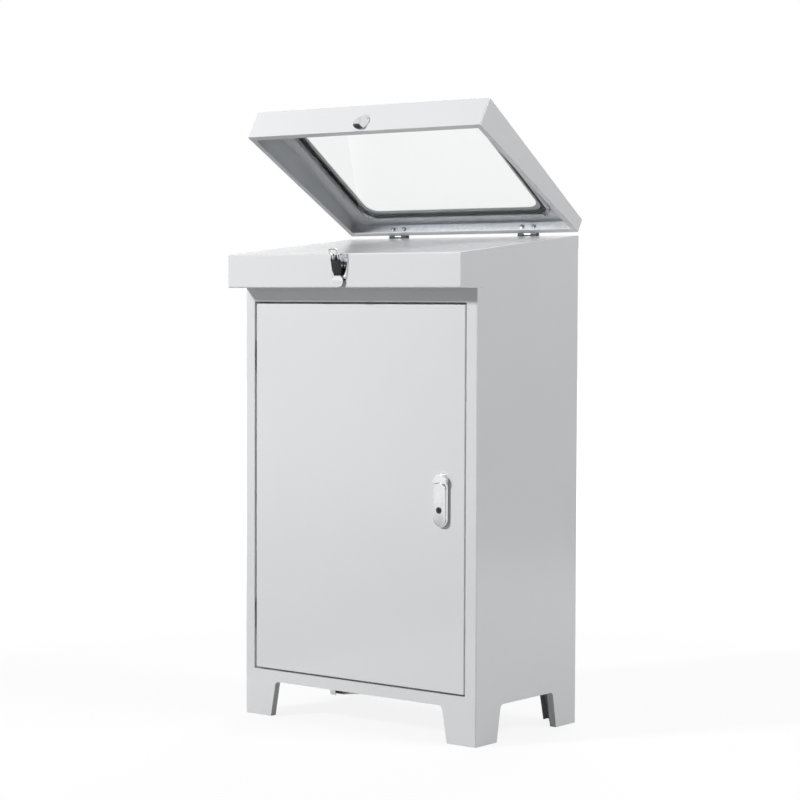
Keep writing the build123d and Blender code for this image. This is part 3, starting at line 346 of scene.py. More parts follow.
# Loose shells of a CAD node, each as an array of corner points.
def shellsOf(nodeName):
    bm = bmesh.new()
    bm.from_mesh(frame["nodes"][nodeName].data)
    bmesh.ops.remove_doubles(bm, verts=bm.verts, dist=weldGap)
    waiting = dict.fromkeys(bm.verts)  # a dict keeps its order, so each run goes the same way
    shells = []
    while waiting:
        frontier = [waiting.popitem()[0]]
        shell = list(frontier)
        while frontier:
            vert = frontier.pop()
            for link in vert.link_edges:
                other = link.other_vert(vert)
                if other in waiting:
                    del waiting[other]
                    frontier.append(other)
                    shell.append(other)
        shells.append(numpy.array([v.co[:] for v in shell]))
    bm.free()
    return shells


# Middle of a hexagon nut's seat and the way its thread points, found from its shell.
def nutSeat(shell, towards):
    middle = (shell.min(axis=0) + shell.max(axis=0)) / 2
    spread, ways = numpy.linalg.eigh(numpy.cov((shell - middle).T))
    odd = 0 if spread[1] - spread[0] > spread[2] - spread[1] else 2  # the nut's own axis
    way = ways[:, odd]
    way = way if way @ numpy.array(towards) > 0 else -way
    along = (shell - shell.mean(axis=0)) @ way
    centre = shell.mean(axis=0) + way * along.min()
    return Vector(centre), Vector(way)


# Nut seats of bolts whose nut ends flush with the shank: each lies a fixed way back from the tip.
def boltSeats(shells, towards, fromTip):
    way = Vector(towards).normalized()
    stacks = {}
    for shell in shells:
        along = shell @ numpy.array(way)
        flat = shell - numpy.outer(along, way)
        middle = (flat.min(axis=0) + flat.max(axis=0)) / 2
        axis = tuple(middle.round(3))  # the shells of one bolt share an axis, to the millimetre
        tip = max(along.max(), stacks[axis][0]) if axis in stacks else along.max()
        stacks[axis] = (tip, middle)
    return [(Vector(middle) + way * (tip - fromTip), way) for tip, middle in stacks.values()]


def ringFaces(bm, rings, closed):
    count = len(rings[0])
    pairs = list(zip(rings, rings[1:])) + ([(rings[-1], rings[0])] if closed else [])
    for lower, upper in pairs:
        for i in range(count):
            j = (i + 1) % count
            corners = list(dict.fromkeys((lower[i], lower[j], upper[j], upper[i])))
            if len(corners) > 2:
                bm.faces.new(corners)


def ringVerts(bm, radii, heights):
    step = 2 * math.pi / len(radii)
    return [bm.verts.new((r * math.cos(step * i), r * math.sin(step * i), h))
            for i, (r, h) in enumerate(zip(radii, heights))]


# Hexagon nut, both faces chamfered and the bore countersunk: shares of flats, bore and height.
nutForm = {"sides": 36, "chamferFrom": 0.98, "chamferSlope": 0.577, "face": 0.96, "mouth": 1.15,
           "mouthDepth": 0.1, "leastFlats": 0.97, "mostCorners": 1.25}


def addNut(bm, flats, height, bore):
    count = nutForm["sides"]
    inscribed = flats / 2
    sixth = math.pi / 3
    corner = [inscribed / math.cos((2 * math.pi * i / count + sixth / 2) % sixth - sixth / 2)
              for i in range(count)]
    drop = [max(0.0, r - inscribed * nutForm["chamferFrom"]) * nutForm["chamferSlope"]
            for r in corner]
    face = inscribed * nutForm["face"]
    mouth = bore * nutForm["mouth"]
    sunk = height * nutForm["mouthDepth"]
    rings = [ringVerts(bm, [bore] * count, [sunk] * count),
             ringVerts(bm, [mouth] * count, [0.0] * count),
             ringVerts(bm, [face] * count, [0.0] * count),
             ringVerts(bm, corner, drop),
             ringVerts(bm, corner, [height - d for d in drop]),
             ringVerts(bm, [face] * count, [height] * count),
             ringVerts(bm, [mouth] * count, [height] * count),
             ringVerts(bm, [bore] * count, [height - sunk] * count)]
    ringFaces(bm, rings, True)


# Rolled thread, one helical ridge that runs out at the tip: depth and run-out per pitch.
threadForm = {"sides": 20, "rowsPerTurn": 5, "leastRows": 4, "depth": 0.55, "runOut": 1.2}


def addThread(bm, radius, pitch, low, high):
    count = threadForm["sides"]
    depth = pitch * threadForm["depth"]
    runOut = pitch * threadForm["runOut"]
    rows = max(threadForm["leastRows"], int((high - low) / pitch * threadForm["rowsPerTurn"]))
    rings = []
    for row in range(rows + 1):
        height = low + (high - low) * row / rows
        near = max(0.0, 1.0 - (high - height) / runOut)
        radii = []
        for i in range(count):
            phase = ((height - low) / pitch - i / count) % 1.0
            ridge = abs(phase - 0.5) * 2.0  # 0 on the crest, 1 in the root
            radii.append(min(radius - depth * ridge, radius - depth * near))
        rings.append(ringVerts(bm, radii, [height] * count))
    ringFaces(bm, rings, False)
    bm.faces.new(rings[0])
    bm.faces.new(rings[-1])


# Pan head with a cross recess: shares of its radius, and of its height for drop, depth and floor.
panForm = {"sides": 48, "crownDrop": 0.28, "edgeFrom": 0.84, "edgeRun": 0.17, "crossHalf": 0.12,
           "crossReach": 0.52, "crossDepth": 0.62, "crossFloor": 0.3,
           "rings": (0.1, 0.16, 0.24, 0.32, 0.4, 0.48, 0.56, 0.7, 0.84, 0.93, 0.98, 1.0)}


# The seat is at the given height and the crown points down.
def addPanHead(bm, radius, height, seat):
    count = panForm["sides"]
    rings = []
    for share in panForm["rings"]:
        crown = height * (1.0 - panForm["crownDrop"] * share ** 2)
        if share > panForm["edgeFrom"]:
            past = (share - panForm["edgeFrom"]) / panForm["edgeRun"]
            crown *= math.sqrt(max(0.0, 1.0 - past ** 2))
        heights = []
        for i in range(count):
            angle = 2 * math.pi * i / count
            x, y = abs(share * math.cos(angle)), abs(share * math.sin(angle))
            inside = min(x, y) < panForm["crossHalf"] and max(x, y) < panForm["crossReach"]
            heights.append(seat - crown + (height * panForm["crossDepth"] if inside else 0.0))
        rings.append(ringVerts(bm, [radius * share] * count, heights))
    floor = bm.verts.new((0.0, 0.0, seat - height * panForm["crossFloor"]))
    for i in range(count):
        bm.faces.new((floor, rings[0][i], rings[0][(i + 1) % count]))
    rings.append(ringVerts(bm, [radius] * count, [seat] * count))
    ringFaces(bm, rings, False)
    bm.faces.new(rings[-1])


def meshFrom(name, bm):
    bmesh.ops.recalc_face_normals(bm, faces=bm.faces)
    mesh = bpy.data.meshes.new(name)
    bm.to_mesh(mesh)
    bm.free()
    mesh.polygons.foreach_set("use_smooth", [True] * len(mesh.polygons))
    mesh.set_sharp_from_angle(angle=math.radians(creaseAngle))
    return mesh


# Starts a node tree with these named inputs and one geometry output.
def startTree(name, sockets):
    tree = bpy.data.node_groups.new(name, "GeometryNodeTree")
    for socket, kind in sockets.items():
        tree.interface.new_socket(name=socket, in_out="INPUT", socket_type="NodeSocket" + kind)
    tree.interface.new_socket(name="Geometry", in_out="OUTPUT", socket_type="NodeSocketGeometry")
    return tree, addNode(tree, "NodeGroupInput").outputs


# Ends a node tree with its shape made real and coated.
def endTree(tree, shape, finish):
    real = addNode(tree, "GeometryNodeRealizeInstances", {"Geometry": shape.outputs[0]})
    coated = addNode(tree, "GeometryNodeSetMaterial", {
        "Geometry": real.outputs[0], "Material": finish})
    addNode(tree, "NodeGroupOutput", {"Geometry": coated.outputs[0]})
    return tree


# Runs a node tree on an object and leaves only its plain mesh.
def bakeTree(holder, tree, values):
    modifier = holder.modifiers.new(tree.name, "NODES")
    modifier.node_group = tree
    for item in tree.interface.items_tree:
        if item.in_out == "INPUT" and item.name in values:
            modifier[item.identifier] = values[item.name]
    scene.collection.objects.link(holder)
    depsgraph = bpy.context.evaluated_depsgraph_get()
    result = bpy.data.meshes.new_from_object(holder.evaluated_get(depsgraph))
    holder.modifiers.clear()
    holder.data = result


# Node tree that sets one fastener on each point, facing as the point says and turned at random.
def makeFastenerTree():
    tree, given = startTree("fastenersOnPoints", {
        "Points": "Geometry", "Fastener": "Object", "Size": "Float", "Most Turn": "Float",
        "Turn Seed": "Int", "Finish": "Material"})
    facing = addNode(tree, "GeometryNodeInputNamedAttribute", {"Name": "facing"},
                     data_type="FLOAT_VECTOR")
    aligned = addNode(tree, "FunctionNodeAlignRotationToVector", {
        "Vector": facing.outputs["Attribute"]}, axis="Z")
    least, most, drawn = 2, 3, 1  # sockets of a Random Value node that draws floats
    twist = addNode(tree, "FunctionNodeRandomValue", {
        least: 0.0, most: given["Most Turn"], "Seed": given["Turn Seed"]}, data_type="FLOAT")
    turn = addNode(tree, "FunctionNodeAxisAngleToRotation", {
        "Axis": (0, 0, 1), "Angle": twist.outputs[drawn]})
    both = addNode(tree, "FunctionNodeRotateRotation", {
        "Rotation": aligned.outputs[0], "Rotate By": turn.outputs[0]}, rotation_space="LOCAL")
    shape = addNode(tree, "GeometryNodeObjectInfo", {"Object": given["Fastener"]})
    placed = addNode(tree, "GeometryNodeInstanceOnPoints", {
        "Points": given["Points"], "Instance": shape.outputs["Geometry"],
        "Rotation": both.outputs[0], "Scale": given["Size"]})
    return endTree(tree, placed, given["Finish"])


# Screws, bolts and nuts, sizes in metres: the thread runs from -grip to over the nut.
mostTurn = 6.283  # a full turn, in radians
fasteners = {
    "retainerNuts": {"node": "retainer_nuts", "body": "lid", "towards": (0, -0.3, -1),
                     "flats": 0.007, "nut": 0.0032, "radius": 0.002, "pitch": 0.0007,
                     "grip": 0.0012, "over": 0.0046, "seed": 3},
    "lidLeafBolts": {"node": "lid_leaf_bolts", "body": "lid", "towards": (0, -0.8675, 0.4974),
                     "fromTip": 0.004, "flats": 0.008, "nut": 0.004, "radius": 0.0025,
                     "pitch": 0.0008, "grip": 0.0052, "over": 0.0016,
                     "head": 0.0046, "headHeight": 0.0026, "seed": 5},
    "bodyLeafBolts": {"node": "body_leaf_bolts", "body": "carcass", "towards": (0, -1, 0),
                      "fromTip": 0.004, "flats": 0.008, "nut": 0.004, "radius": 0.0025,
                      "pitch": 0.0008, "grip": 0.0035, "over": 0.0016,
                      "head": 0.0046, "headHeight": 0.0026, "seed": 7},
    "glandScrews": {"node": "gland_screws", "body": "carcass", "towards": (0, 0, 1),
                    "fromTip": 0.004, "flats": 0.008, "nut": 0.004, "radius": 0.0025,
                    "pitch": 0.0008, "grip": 0.0035, "over": 0.0016,
                    "head": 0.0045, "headHeight": 0.0025, "seed": 11},
    "plateNuts": {"node": "plate_nuts", "body": "carcass", "towards": (0, -1, 0),
                  "flats": 0.013, "nut": 0.0065, "radius": 0.0043, "pitch": 0.00125,
                  "grip": 0.0, "over": 0.0052, "seed": 13},
    "earthStud": {"node": "body_earth_stud", "body": "carcass", "towards": (0, -1, 0),
                  "fromTip": 0.02, "flats": 0.013, "nut": 0.0065, "radius": 0.004,
                  "pitch": 0.00125, "grip": 0.0, "over": 0.0135, "seed": 17},
}


# Places and ways of one kind of fastener, read from its CAD node and put in a fixed order.
def seatsOf(item):
    shells = shellsOf(item["node"])
    if "fromTip" in item:
        seats = boltSeats(shells, item["towards"], item["fromTip"])
    else:
        least, most = (item["flats"] * nutForm[key] for key in ("leastFlats", "mostCorners"))
        sizes = [sorted(shell.max(axis=0) - shell.min(axis=0)) for shell in shells]
        seats = [nutSeat(shell, item["towards"]) for shell, size in zip(shells, sizes)
                 if size[1] > least and size[2] < most]
    return sorted(seats, key=lambda pair: tuple(round(c, 4) for c in pair[0]))


def makeFasteners():
    tree = makeFastenerTree()
    for name, item in fasteners.items():
        bm = bmesh.new()
        addNut(bm, item["flats"], item["nut"], item["radius"])
        addThread(bm, item["radius"], item["pitch"], -item["grip"], item["nut"] + item["over"])
        if "head" in item:
            addPanHead(bm, item["head"], item["headHeight"], -item["grip"])
        pattern = bpy.data.objects.new(name + "Pattern", meshFrom(name + "Pattern", bm))
        scene.collection.objects.link(pattern)
        seats = seatsOf(item)
        mesh = bpy.data.meshes.new(name)
        mesh.from_pydata([seat for seat, way in seats], [], [])
        facing = mesh.attributes.new("facing", "FLOAT_VECTOR", "POINT")
        for i, (seat, way) in enumerate(seats):
            facing.data[i].vector = way
        piece = bpy.data.objects.new(name, mesh)
        bakeTree(piece, tree, {"Fastener": pattern, "Size": 1.0, "Most Turn": mostTurn,
                               "Turn Seed": item["seed"],
                               "Finish": finishes["zinc_plated_steel"]})
        bpy.data.objects.remove(pattern)
        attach(piece, item["body"])
        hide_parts(item["node"])
        print("fasteners:", name, len(seats), "set,", len(piece.data.polygons), "faces")


makeFasteners()

# Latch lever: a ribbed finger grip between two drilled cheeks, and below its neck a round pull.
# Heights are z and faces are y, in metres. Ribs start a gap inside the grip's edges and fade in.
lever = {"top": 0.944, "neck": 0.914, "wide": 0.011, "taperFrom": 0.927, "narrow": 0.008,
         "faceTop": -0.242, "faceNeck": -0.2353, "sheet": 0.0015, "columns": 64, "gripRows": 24,
         "pullMiddle": 0.903, "pullRadius": 0.011, "pullSpread": 0.003, "pullFace": -0.2346,
         "pullDome": 0.0002, "pullFrom": 58.0, "pullSweep": 148.0, "pullRows": 20,
         "ribPitch": 0.0052, "ribRise": 0.0012, "ribTopGap": 0.001, "ribTopFade": 0.002,
         "ribFootGap": 0.002, "ribFootFade": 0.003, "ribEdgeGap": 0.0012, "ribEdgeFade": 0.0008,
         "pivot": (-0.2355, 0.951, 0.0021), "bailHole": (-0.2335, 0.934, 0.0017),
         "cheek": ((-0.24125, 0.9436), (-0.24125, 0.9475), (-0.2385, 0.957), (-0.23375, 0.957),
                   (-0.2304, 0.944), (-0.2304, 0.9305), (-0.23745, 0.9268)),
         "cheekBevel": 0.0002, "holeSides": 28, "weld": 1e-7}


# Flat plate with holes, bevelled all round, drawn as a filled curve and given back as a mesh.
def plateMesh(name, outline, holes, thickness, bevel):
    curve = bpy.data.curves.new(name, "CURVE")
    curve.dimensions = "2D"
    curve.fill_mode = "BOTH"
    curve.extrude = thickness / 2 - bevel
    curve.bevel_depth = bevel
    curve.bevel_resolution = 1
    curve.offset = -bevel
    step = 2 * math.pi / lever["holeSides"]
    loops = [outline] + [[(x + r * math.cos(step * i), y + r * math.sin(step * i))
                          for i in range(lever["holeSides"])] for x, y, r in holes]
    for loop in loops:
        spline = curve.splines.new("POLY")
        spline.points.add(len(loop) - 1)
        for point, place in zip(spline.points, loop):
            point.co = (place[0], place[1], 0.0, 1.0)
        spline.use_cyclic_u = True
    holder = bpy.data.objects.new(name, curve)
    scene.collection.objects.link(holder)
    depsgraph = bpy.context.evaluated_depsgraph_get()
    mesh = bpy.data.meshes.new_from_object(holder.evaluated_get(depsgraph))
    bpy.data.objects.remove(holder)
    bpy.data.curves.remove(curve)
    return mesh


# Node tree that raises upright ribs, spaced across the width, where ribShare lets them stand.
def makeRibTree():
    tree, given = startTree("fingerRibs", {
        "Face": "Geometry", "Pitch": "Float", "Rise": "Float", "Finish": "Material"})
    place = addNode(tree, "GeometryNodeInputPosition")
    across = addNode(tree, "ShaderNodeSeparateXYZ", {0: place.outputs[0]})
    turns = addNode(tree, "ShaderNodeMath", {
        0: across.outputs["X"], 1: given["Pitch"]}, operation="DIVIDE")
    angle = addNode(tree, "ShaderNodeMath", {
        0: turns.outputs[0], 1: 2 * math.pi}, operation="MULTIPLY")
    wave = addNode(tree, "ShaderNodeMath", {0: angle.outputs[0]}, operation="COSINE")
    crest = addNode(tree, "ShaderNodeMath", {0: wave.outputs[0], 1: 0.0}, operation="MAXIMUM")
    share = addNode(tree, "GeometryNodeInputNamedAttribute", {"Name": "ribShare"},
                    data_type="FLOAT")
    kept = addNode(tree, "ShaderNodeMath", {
        0: crest.outputs[0], 1: share.outputs["Attribute"]}, operation="MULTIPLY")
    rise = addNode(tree, "ShaderNodeMath", {
        0: kept.outputs[0], 1: given["Rise"]}, operation="MULTIPLY")
    out = addNode(tree, "ShaderNodeMath", {0: rise.outputs[0], 1: -1.0}, operation="MULTIPLY")
    shift = addNode(tree, "ShaderNodeCombineXYZ", {"Y": out.outputs[0]})
    raised = addNode(tree, "GeometryNodeSetPosition", {
        "Geometry": given["Face"], "Offset": shift.outputs[0]})
    return endTree(tree, raised, given["Finish"])


def smooth(value):
    value = min(1.0, max(0.0, value))
    return value * value * (3.0 - 2.0 * value)


# Closes a front and a back grid of points into one sheet.
def addSheet(bm, front, back):
    for grid, way in ((front, 1), (back, -1)):
        for upper, lower in zip(grid, grid[1:]):
            for j in range(len(upper) - 1):
                bm.faces.new((upper[j], lower[j], lower[j + 1], upper[j + 1])[::way])
    rims = []
    for grid in (front, back):
        left = [row[0] for row in grid]
        right = [row[-1] for row in grid[:-1]][::-1]
        rims.append(left + grid[-1][1:] + right + grid[0][1:-1][::-1])
    for i in range(len(rims[0])):
        j = (i + 1) % len(rims[0])
        bm.faces.new((rims[0][i], rims[0][j], rims[1][j], rims[1][i]))


# Where the lever's front face stands at this height.
def leverFace(height):
    if height >= lever["neck"]:
        along = (lever["top"] - height) / (lever["top"] - lever["neck"])
        return lever["faceTop"] + (lever["faceNeck"] - lever["faceTop"]) * along
    along = smooth((lever["neck"] - height) / (lever["neck"] - lever["pullMiddle"]))
    return lever["faceNeck"] + (lever["pullFace"] - lever["faceNeck"]) * along


def addLeverRows(bm, rows, share):
    front, back = [], []
    for height, half in rows:
        face = leverFace(height)
        fromTop = lever["top"] - lever["ribTopGap"] - height
        fromFoot = height - lever["neck"] - lever["ribFootGap"]
        ends = smooth(fromTop / lever["ribTopFade"]) * smooth(fromFoot / lever["ribFootFade"])
        frontRow, backRow = [], []
        for j in range(lever["columns"] + 1):
            x = half * (2.0 * j / lever["columns"] - 1.0)
            reach = math.hypot(max(0.0, abs(x) - lever["pullSpread"]),
                               height - lever["pullMiddle"])
            dome = lever["pullDome"] * max(0.0, 1.0 - (reach / lever["pullRadius"]) ** 2)
            vert = bm.verts.new((x, face - dome, height))
            fromEdge = half - lever["ribEdgeGap"] - abs(x)
            vert[share] = ends * smooth(fromEdge / lever["ribEdgeFade"])
            frontRow.append(vert)
            backRow.append(bm.verts.new((x, face - dome + lever["sheet"], height)))
        front.append(frontRow)
        back.append(backRow)
    addSheet(bm, front, back)


def makeLever():
    grip, pull = [], []
    for i in range(lever["gripRows"] + 1):
        height = lever["top"] + (lever["neck"] - lever["top"]) * i / lever["gripRows"]
        taper = smooth((lever["taperFrom"] - height) / (lever["taperFrom"] - lever["neck"]))
        grip.append((height, lever["wide"] + (lever["narrow"] - lever["wide"]) * taper))
    for i in range(lever["pullRows"] + 1):
        angle = math.radians(lever["pullFrom"] - lever["pullSweep"] * i / lever["pullRows"])
        pull.append((lever["pullMiddle"] + lever["pullRadius"] * math.sin(angle),
                     lever["pullSpread"] + lever["pullRadius"] * math.cos(angle)))
    cheek = plateMesh("leverCheek", lever["cheek"], (lever["pivot"], lever["bailHole"]),
                      lever["sheet"], lever["cheekBevel"])
    tree = makeRibTree()
    for name, rows, finish in (("leverGrip", grip, "blackened_steel"),
                               ("leverPull", grip[-1:] + pull, "chrome_plate")):
        bm = bmesh.new()
        addLeverRows(bm, rows, bm.verts.layers.float.new("ribShare"))
        for side in (-1, 1) if rows is grip else ():
            seen = len(bm.verts)
            bm.from_mesh(cheek)
            bm.verts.ensure_lookup_table()
            middle = side * (lever["wide"] - lever["sheet"] / 2)
            for vert in bm.verts[seen:]:
                y, z, x = vert.co
                vert.co = (middle + x, y, z)
        bmesh.ops.remove_doubles(bm, verts=bm.verts, dist=lever["weld"])
        piece = bpy.data.objects.new(name, meshFrom(name, bm))
        bakeTree(piece, tree, {"Pitch": lever["ribPitch"], "Rise": lever["ribRise"],
                               "Finish": finishes[finish]})
        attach(piece, "latch_arm")
        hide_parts("latch_lever")
        print("latch lever:", name, len(piece.data.polygons), "faces")
    bpy.data.meshes.remove(cheek)


makeLever()

# Key cylinder face: a raised black collar and a slotted plug let into the button.
keyFace = {"rimRadius": 0.0056, "rimWidth": 0.0009, "rimSides": 48, "rimSection": 8,
           "plugRadius": 0.0027, "plugSteps": 18, "slot": 0.001, "proud": 0.0004,
           "sunk": 0.0006, "bevel": 0.0002}


# Upright prism on an outline, with its top edge bevelled.
def addPrism(bm, outline, low, high, bevel):
    count = len(outline)
    middle = Vector((sum(x for x, y in outline) / count, sum(y for x, y in outline) / count))
    arms = [Vector(point) - middle for point in outline]
    top = [middle + arm * (1.0 - bevel / arm.length) for arm in arms]
    rings = [[bm.verts.new((x, y, height)) for x, y in loop]
             for loop, height in ((outline, low), (outline, high - bevel), (top, high))]
    ringFaces(bm, rings, False)
    bm.faces.new(rings[0])
    bm.faces.new(rings[-1])


def makeKeyFace():
    low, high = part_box("lock_button")
    bm = bmesh.new()
    radius = keyFace["plugRadius"]
    start = math.asin(keyFace["slot"] / 2 / radius)
    for side in (-1, 1):
        outline = []
        for i in range(keyFace["plugSteps"] + 1):
            angle = start + (math.pi - 2 * start) * i / keyFace["plugSteps"]
            outline.append((side * radius * math.sin(angle), radius * math.cos(angle)))
        addPrism(bm, outline, -keyFace["sunk"], keyFace["proud"], keyFace["bevel"])
    count = keyFace["rimSides"]
    rings = []
    for i in range(keyFace["rimSection"]):
        angle = 2 * math.pi * i / keyFace["rimSection"]
        across = keyFace["rimRadius"] + keyFace["rimWidth"] / 2 * math.cos(angle)
        height = keyFace["rimWidth"] / 2 * math.sin(angle)
        rings.append(ringVerts(bm, [across] * count, [height] * count))
    ringFaces(bm, rings, True)
    for vert in bm.verts:
        x, y, z = vert.co
        vert.co = ((low[0] + high[0]) / 2 + x, low[1] - z, (low[2] + high[2]) / 2 + y)
    piece = bpy.data.objects.new("keyFace", meshFrom("keyFace", bm))
    piece.data.materials.append(finishes["blackened_steel"])
    scene.collection.objects.link(piece)
    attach(piece, "lock_key")
    print("key face:", len(piece.data.polygons), "faces")


makeKeyFace()

# Painted shade under the keeper's hook: a black rubber pad with rounded corners, laid against the
# hook's underside where its shadow falls.
shadePad = {"halfWidth": 0.0072, "depth": 0.0136, "thick": 0.0034, "corner": 0.002,
          "cornerSteps": 5, "bevel": 0.0008, "setBack": 0.0004, "lipZone": 0.004,
          "lidTilt": -29.823}


def makeShadePad():
    tilt = math.radians(shadePad["lidTilt"])
    outward = Vector((0.0, math.cos(tilt), math.sin(tilt)))
    upward = Vector((0.0, -math.sin(tilt), math.cos(tilt)))
    points = [v.co.copy() for v in frame["nodes"]["latch_keeper"].data.vertices]
    lip = min(p @ outward for p in points)
    foot = min(p @ upward for p in points if p @ outward < lip + shadePad["lipZone"])
    corner = shadePad["corner"]
    reachX, reachY = shadePad["halfWidth"] - corner, shadePad["depth"] / 2 - corner
    outline = []
    for signX, signY, start in ((1, 1, 0), (-1, 1, 90), (-1, -1, 180), (1, -1, 270)):
        for i in range(shadePad["cornerSteps"] + 1):
            angle = math.radians(start + 90.0 * i / shadePad["cornerSteps"])
            outline.append((signX * reachX + corner * math.cos(angle),
                            signY * reachY + corner * math.sin(angle)))
    bm = bmesh.new()
    addPrism(bm, outline, 0.0, shadePad["thick"], shadePad["bevel"])
    middle = lip + shadePad["setBack"] + shadePad["depth"] / 2
    for vert in bm.verts:
        x, along, down = vert.co
        vert.co = Vector((x, 0.0, 0.0)) + outward * (middle - along) + upward * (foot - down)
    piece = bpy.data.objects.new("keeperBuffer", meshFrom("keeperBuffer", bm))
    # The black rubber stands in for the shadow under the hook: painted shade.
    piece.data.materials.append(finishes["black_rubber"])
    scene.collection.objects.link(piece)
    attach(piece, "lid")
    print("keeper shade pad:", len(piece.data.polygons), "faces")


makeShadePad()

# Door seal: a foamed bead with a domed crown, laid round the inside of the door in one run.
seal = {"width": 0.012, "corner": 0.02, "crown": 24, "turns": 14, "crease": 40.0}


def makeSealTree():
    tree, given = startTree("sealBead", {
        "Start": "Geometry", "Run Width": "Float", "Run Height": "Float", "Corner": "Float",
        "Bead Width": "Float", "Bead Rise": "Float", "Middle": "Vector", "Finish": "Material"})
    run = addNode(tree, "GeometryNodeCurvePrimitiveQuadrilateral", {
        "Width": given["Run Width"], "Height": given["Run Height"]})
    rounded = addNode(tree, "GeometryNodeFilletCurve", {
        "Curve": run.outputs[0], "Count": seal["turns"], "Radius": given["Corner"]}, mode="POLY")
    half = addNode(tree, "ShaderNodeMath", {0: given["Bead Width"], 1: 2.0}, operation="DIVIDE")
    tall = addNode(tree, "ShaderNodeMath", {
        0: given["Bead Rise"], 1: half.outputs[0]}, operation="DIVIDE")
    arc = addNode(tree, "GeometryNodeCurveArc", {
        "Resolution": seal["crown"], "Radius": half.outputs[0], "Start Angle": 0.0,
        "Sweep Angle": math.pi}, mode="RADIUS")
    whole = addNode(tree, "GeometryNodeSetSplineCyclic", {
        "Geometry": arc.outputs[0], "Cyclic": True})
    squat = addNode(tree, "ShaderNodeCombineXYZ", {"X": 1.0, "Y": tall.outputs[0], "Z": 1.0})
    section = addNode(tree, "GeometryNodeTransform", {
        "Geometry": whole.outputs[0], "Scale": squat.outputs[0]})
    bead = addNode(tree, "GeometryNodeCurveToMesh", {
        "Curve": rounded.outputs[0], "Profile Curve": section.outputs[0]})
    stood = addNode(tree, "GeometryNodeTransform", {
        "Geometry": bead.outputs[0], "Translation": given["Middle"],
        "Rotation": (math.pi / 2, 0.0, 0.0)})
    return endTree(tree, stood, given["Finish"])


def makeDoorSeal():
    low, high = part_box("door_gasket")
    piece = bpy.data.objects.new("doorSeal", bpy.data.meshes.new("doorSeal"))
    bakeTree(piece, makeSealTree(), {
        "Run Width": high[0] - low[0] - seal["width"],
        "Run Height": high[2] - low[2] - seal["width"],
        "Corner": seal["corner"], "Bead Width": seal["width"], "Bead Rise": high[1] - low[1],
        "Middle": ((low[0] + high[0]) / 2, low[1], (low[2] + high[2]) / 2),
        "Finish": finishes["seal_foam"]})
    bm = bmesh.new()
    bm.from_mesh(piece.data)
    bmesh.ops.recalc_face_normals(bm, faces=bm.faces)
    bm.to_mesh(piece.data)
    bm.free()
    piece.data.polygons.foreach_set("use_smooth", [True] * len(piece.data.polygons))
    piece.data.set_sharp_from_angle(angle=math.radians(seal["crease"]))
    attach(piece, "door")
    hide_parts("door_gasket")
    print("door seal:", len(piece.data.polygons), "faces")


makeDoorSeal()

# Studio: pale floor, white surround, soft lamps. The floor whitens from fadeFrom to fadeTo metres.
studio = {"floorSize": 40.0, "floorSides": 96, "floorDrop": 0.0005, "floorColour": "#a4a4a4",
          "floorShare": 0.72, "floorGlow": 1.22, "fadeFrom": 1.2, "fadeTo": 4.5,
          "surround": 0.165}


# 1 for what the camera sees, straight or by mirrors and glass, and 0 for light on surfaces.
def seenByCamera(tree):
    path = addNode(tree, "ShaderNodeLightPath").outputs
    seen = addNode(tree, "ShaderNodeMath", {
        0: path["Is Camera Ray"], 1: path["Is Glossy Ray"]}, operation="MAXIMUM")
    through = addNode(tree, "ShaderNodeMath", {
        0: seen.outputs[0], 1: path["Is Transmission Ray"]}, operation="MAXIMUM")
    first = addNode(tree, "ShaderNodeMath", {
        0: path["Diffuse Depth"], 1: 0.5}, operation="LESS_THAN")
    both = addNode(tree, "ShaderNodeMath", {
        0: through.outputs[0], 1: first.outputs[0]}, operation="MULTIPLY")
    return both.outputs[0]


def makeStudio():
    mesh = bpy.data.meshes.new("studioFloor")
    bm = bmesh.new()
    bmesh.ops.create_circle(bm, cap_ends=True, segments=studio["floorSides"],
                            radius=studio["floorSize"] / 2)
    bm.to_mesh(mesh)
    bm.free()
    floor = bpy.data.objects.new("studioFloor", mesh)
    floor.location.z = -studio["floorDrop"]
    scene.collection.objects.link(floor)
    material, tree, place = startMaterial("studio paper")
    diffuse = addNode(tree, "ShaderNodeBsdfDiffuse", {"Color": linear(studio["floorColour"])})
    glow = addNode(tree, "ShaderNodeEmission", {
        "Color": (1, 1, 1, 1), "Strength": studio["floorGlow"]})
    reach = addNode(tree, "ShaderNodeVectorMath", {0: place}, operation="LENGTH")
    fade = addNode(tree, "ShaderNodeMapRange", {
        "Value": reach.outputs["Value"], "From Min": studio["fadeFrom"],
        "From Max": studio["fadeTo"], "To Min": studio["floorShare"], "To Max": 1.0})
    share = addNode(tree, "ShaderNodeMath", {
        0: seenByCamera(tree), 1: fade.outputs[0]}, operation="MULTIPLY")
    mix = addNode(tree, "ShaderNodeMixShader", {
        0: share.outputs[0], 1: diffuse.outputs[0], 2: glow.outputs[0]})
    endMaterial(tree, mix)
    mesh.materials.append(material)

    world = bpy.data.worlds.new("studioSurround")
    world.use_nodes = True
    scene.world = world
    tree = world.node_tree
    tree.nodes.clear()
    level = addNode(tree, "ShaderNodeMapRange", {
        "Value": seenByCamera(tree), "To Min": studio["surround"], "To Max": 1.0})
    sky = addNode(tree, "ShaderNodeBackground", {
        "Color": (1, 1, 1, 1), "Strength": level.outputs[0]})
    addNode(tree, "ShaderNodeOutputWorld", {"Surface": sky.outputs[0]})


lamps = {
    "keySoftbox": {"at": (-2.75, -5.25, 3.65), "aim": (0.0, -0.2, 0.6), "size": 0.8,
                   "watts": 366.0},
    "rightFill": {"at": (4.5, 0.9, 4.0), "aim": (0.3, 0.0, 0.6), "size": 2.6, "watts": 190.0},
    "topSoftbox": {"at": (-0.6, -0.6, 4.6), "aim": (0.0, 0.0, 0.9), "size": 2.4, "watts": 5.0},
    "backFill": {"at": (-2.2, 4.6, 4.3), "aim": (0.0, 0.2, 0.7), "size": 2.6, "watts": 140.0},
}


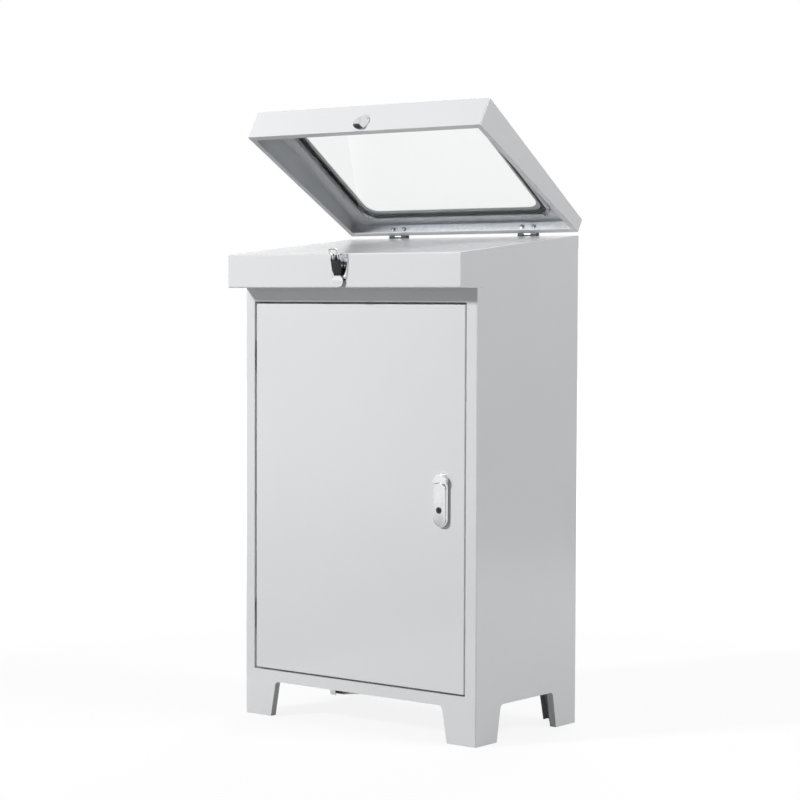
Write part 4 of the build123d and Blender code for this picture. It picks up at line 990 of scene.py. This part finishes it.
def makeLamps():
    for name, lamp in lamps.items():
        data = bpy.data.lights.new(name, "AREA")
        data.shape = "SQUARE"
        data.size = lamp["size"]
        data.energy = lamp["watts"]
        holder = bpy.data.objects.new(name, data)
        holder.location = lamp["at"]
        beam = Vector(lamp["aim"]) - Vector(lamp["at"])
        holder.rotation_euler = beam.to_track_quat("-Z", "Y").to_euler()
        scene.collection.objects.link(holder)


# Dark felt flags that only mirror-like surfaces see: they draw dark bands on the bright plating.
felt = {"colour": "#101010", "weaveMm": 4.0, "roughLow": 0.85, "roughHigh": 1.0}
flags = {
    "frontFlag": ((-3.2, 0.8, 0.05), (-0.45, 0.8, 0.05), (-0.45, -3.2, 0.05), (-3.2, -3.2, 0.05)),
    "rightFlag": ((1.15, 3.3, 0.0), (3.3, 1.4, 0.0), (3.3, 1.4, 2.2), (1.15, 3.3, 2.2)),
}


def makeFelt():
    material, tree, place = startMaterial("black felt")
    weave = addNode(tree, "ShaderNodeTexNoise", {
        "Vector": place, "Scale": waves(felt["weaveMm"])})
    rough = addNode(tree, "ShaderNodeMapRange", {
        "Value": weave.outputs["Fac"], "To Min": felt["roughLow"], "To Max": felt["roughHigh"]})
    shader = addNode(tree, "ShaderNodeBsdfPrincipled", {
        "Base Color": linear(felt["colour"]), "Roughness": rough.outputs[0]})
    endMaterial(tree, shader)
    return material


def makeFlags():
    material = makeFelt()
    for name, corners in flags.items():
        mesh = bpy.data.meshes.new(name)
        mesh.from_pydata(corners, [], [(0, 1, 2, 3)])
        mesh.materials.append(material)
        card = bpy.data.objects.new(name, mesh)
        card.visible_camera = False
        card.visible_diffuse = False
        card.visible_shadow = False
        card.visible_transmission = False
        scene.collection.objects.link(card)


# Viewpoint of the photograph: from the right front, at about two thirds of the height.
viewpoint = {"at": (2.8735, -3.65413, 0.86578), "turn": 38.436, "dip": 2.5364, "roll": 0.1976,
             "lens": 101.33, "sensor": 36.0}


def makeCamera():
    data = bpy.data.cameras.new("photoCamera")
    data.lens = viewpoint["lens"]
    data.sensor_width = viewpoint["sensor"]
    camera = bpy.data.objects.new("photoCamera", data)
    camera.matrix_world = (Matrix.Translation(viewpoint["at"])
                           @ Matrix.Rotation(math.radians(viewpoint["turn"]), 4, "Z")
                           @ Matrix.Rotation(math.radians(90.0 - viewpoint["dip"]), 4, "X")
                           @ Matrix.Rotation(math.radians(viewpoint["roll"]), 4, "Z"))
    scene.collection.objects.link(camera)
    scene.camera = camera


makeStudio()
makeLamps()
makeFlags()
makeCamera()
print("studio, lamps and camera set")
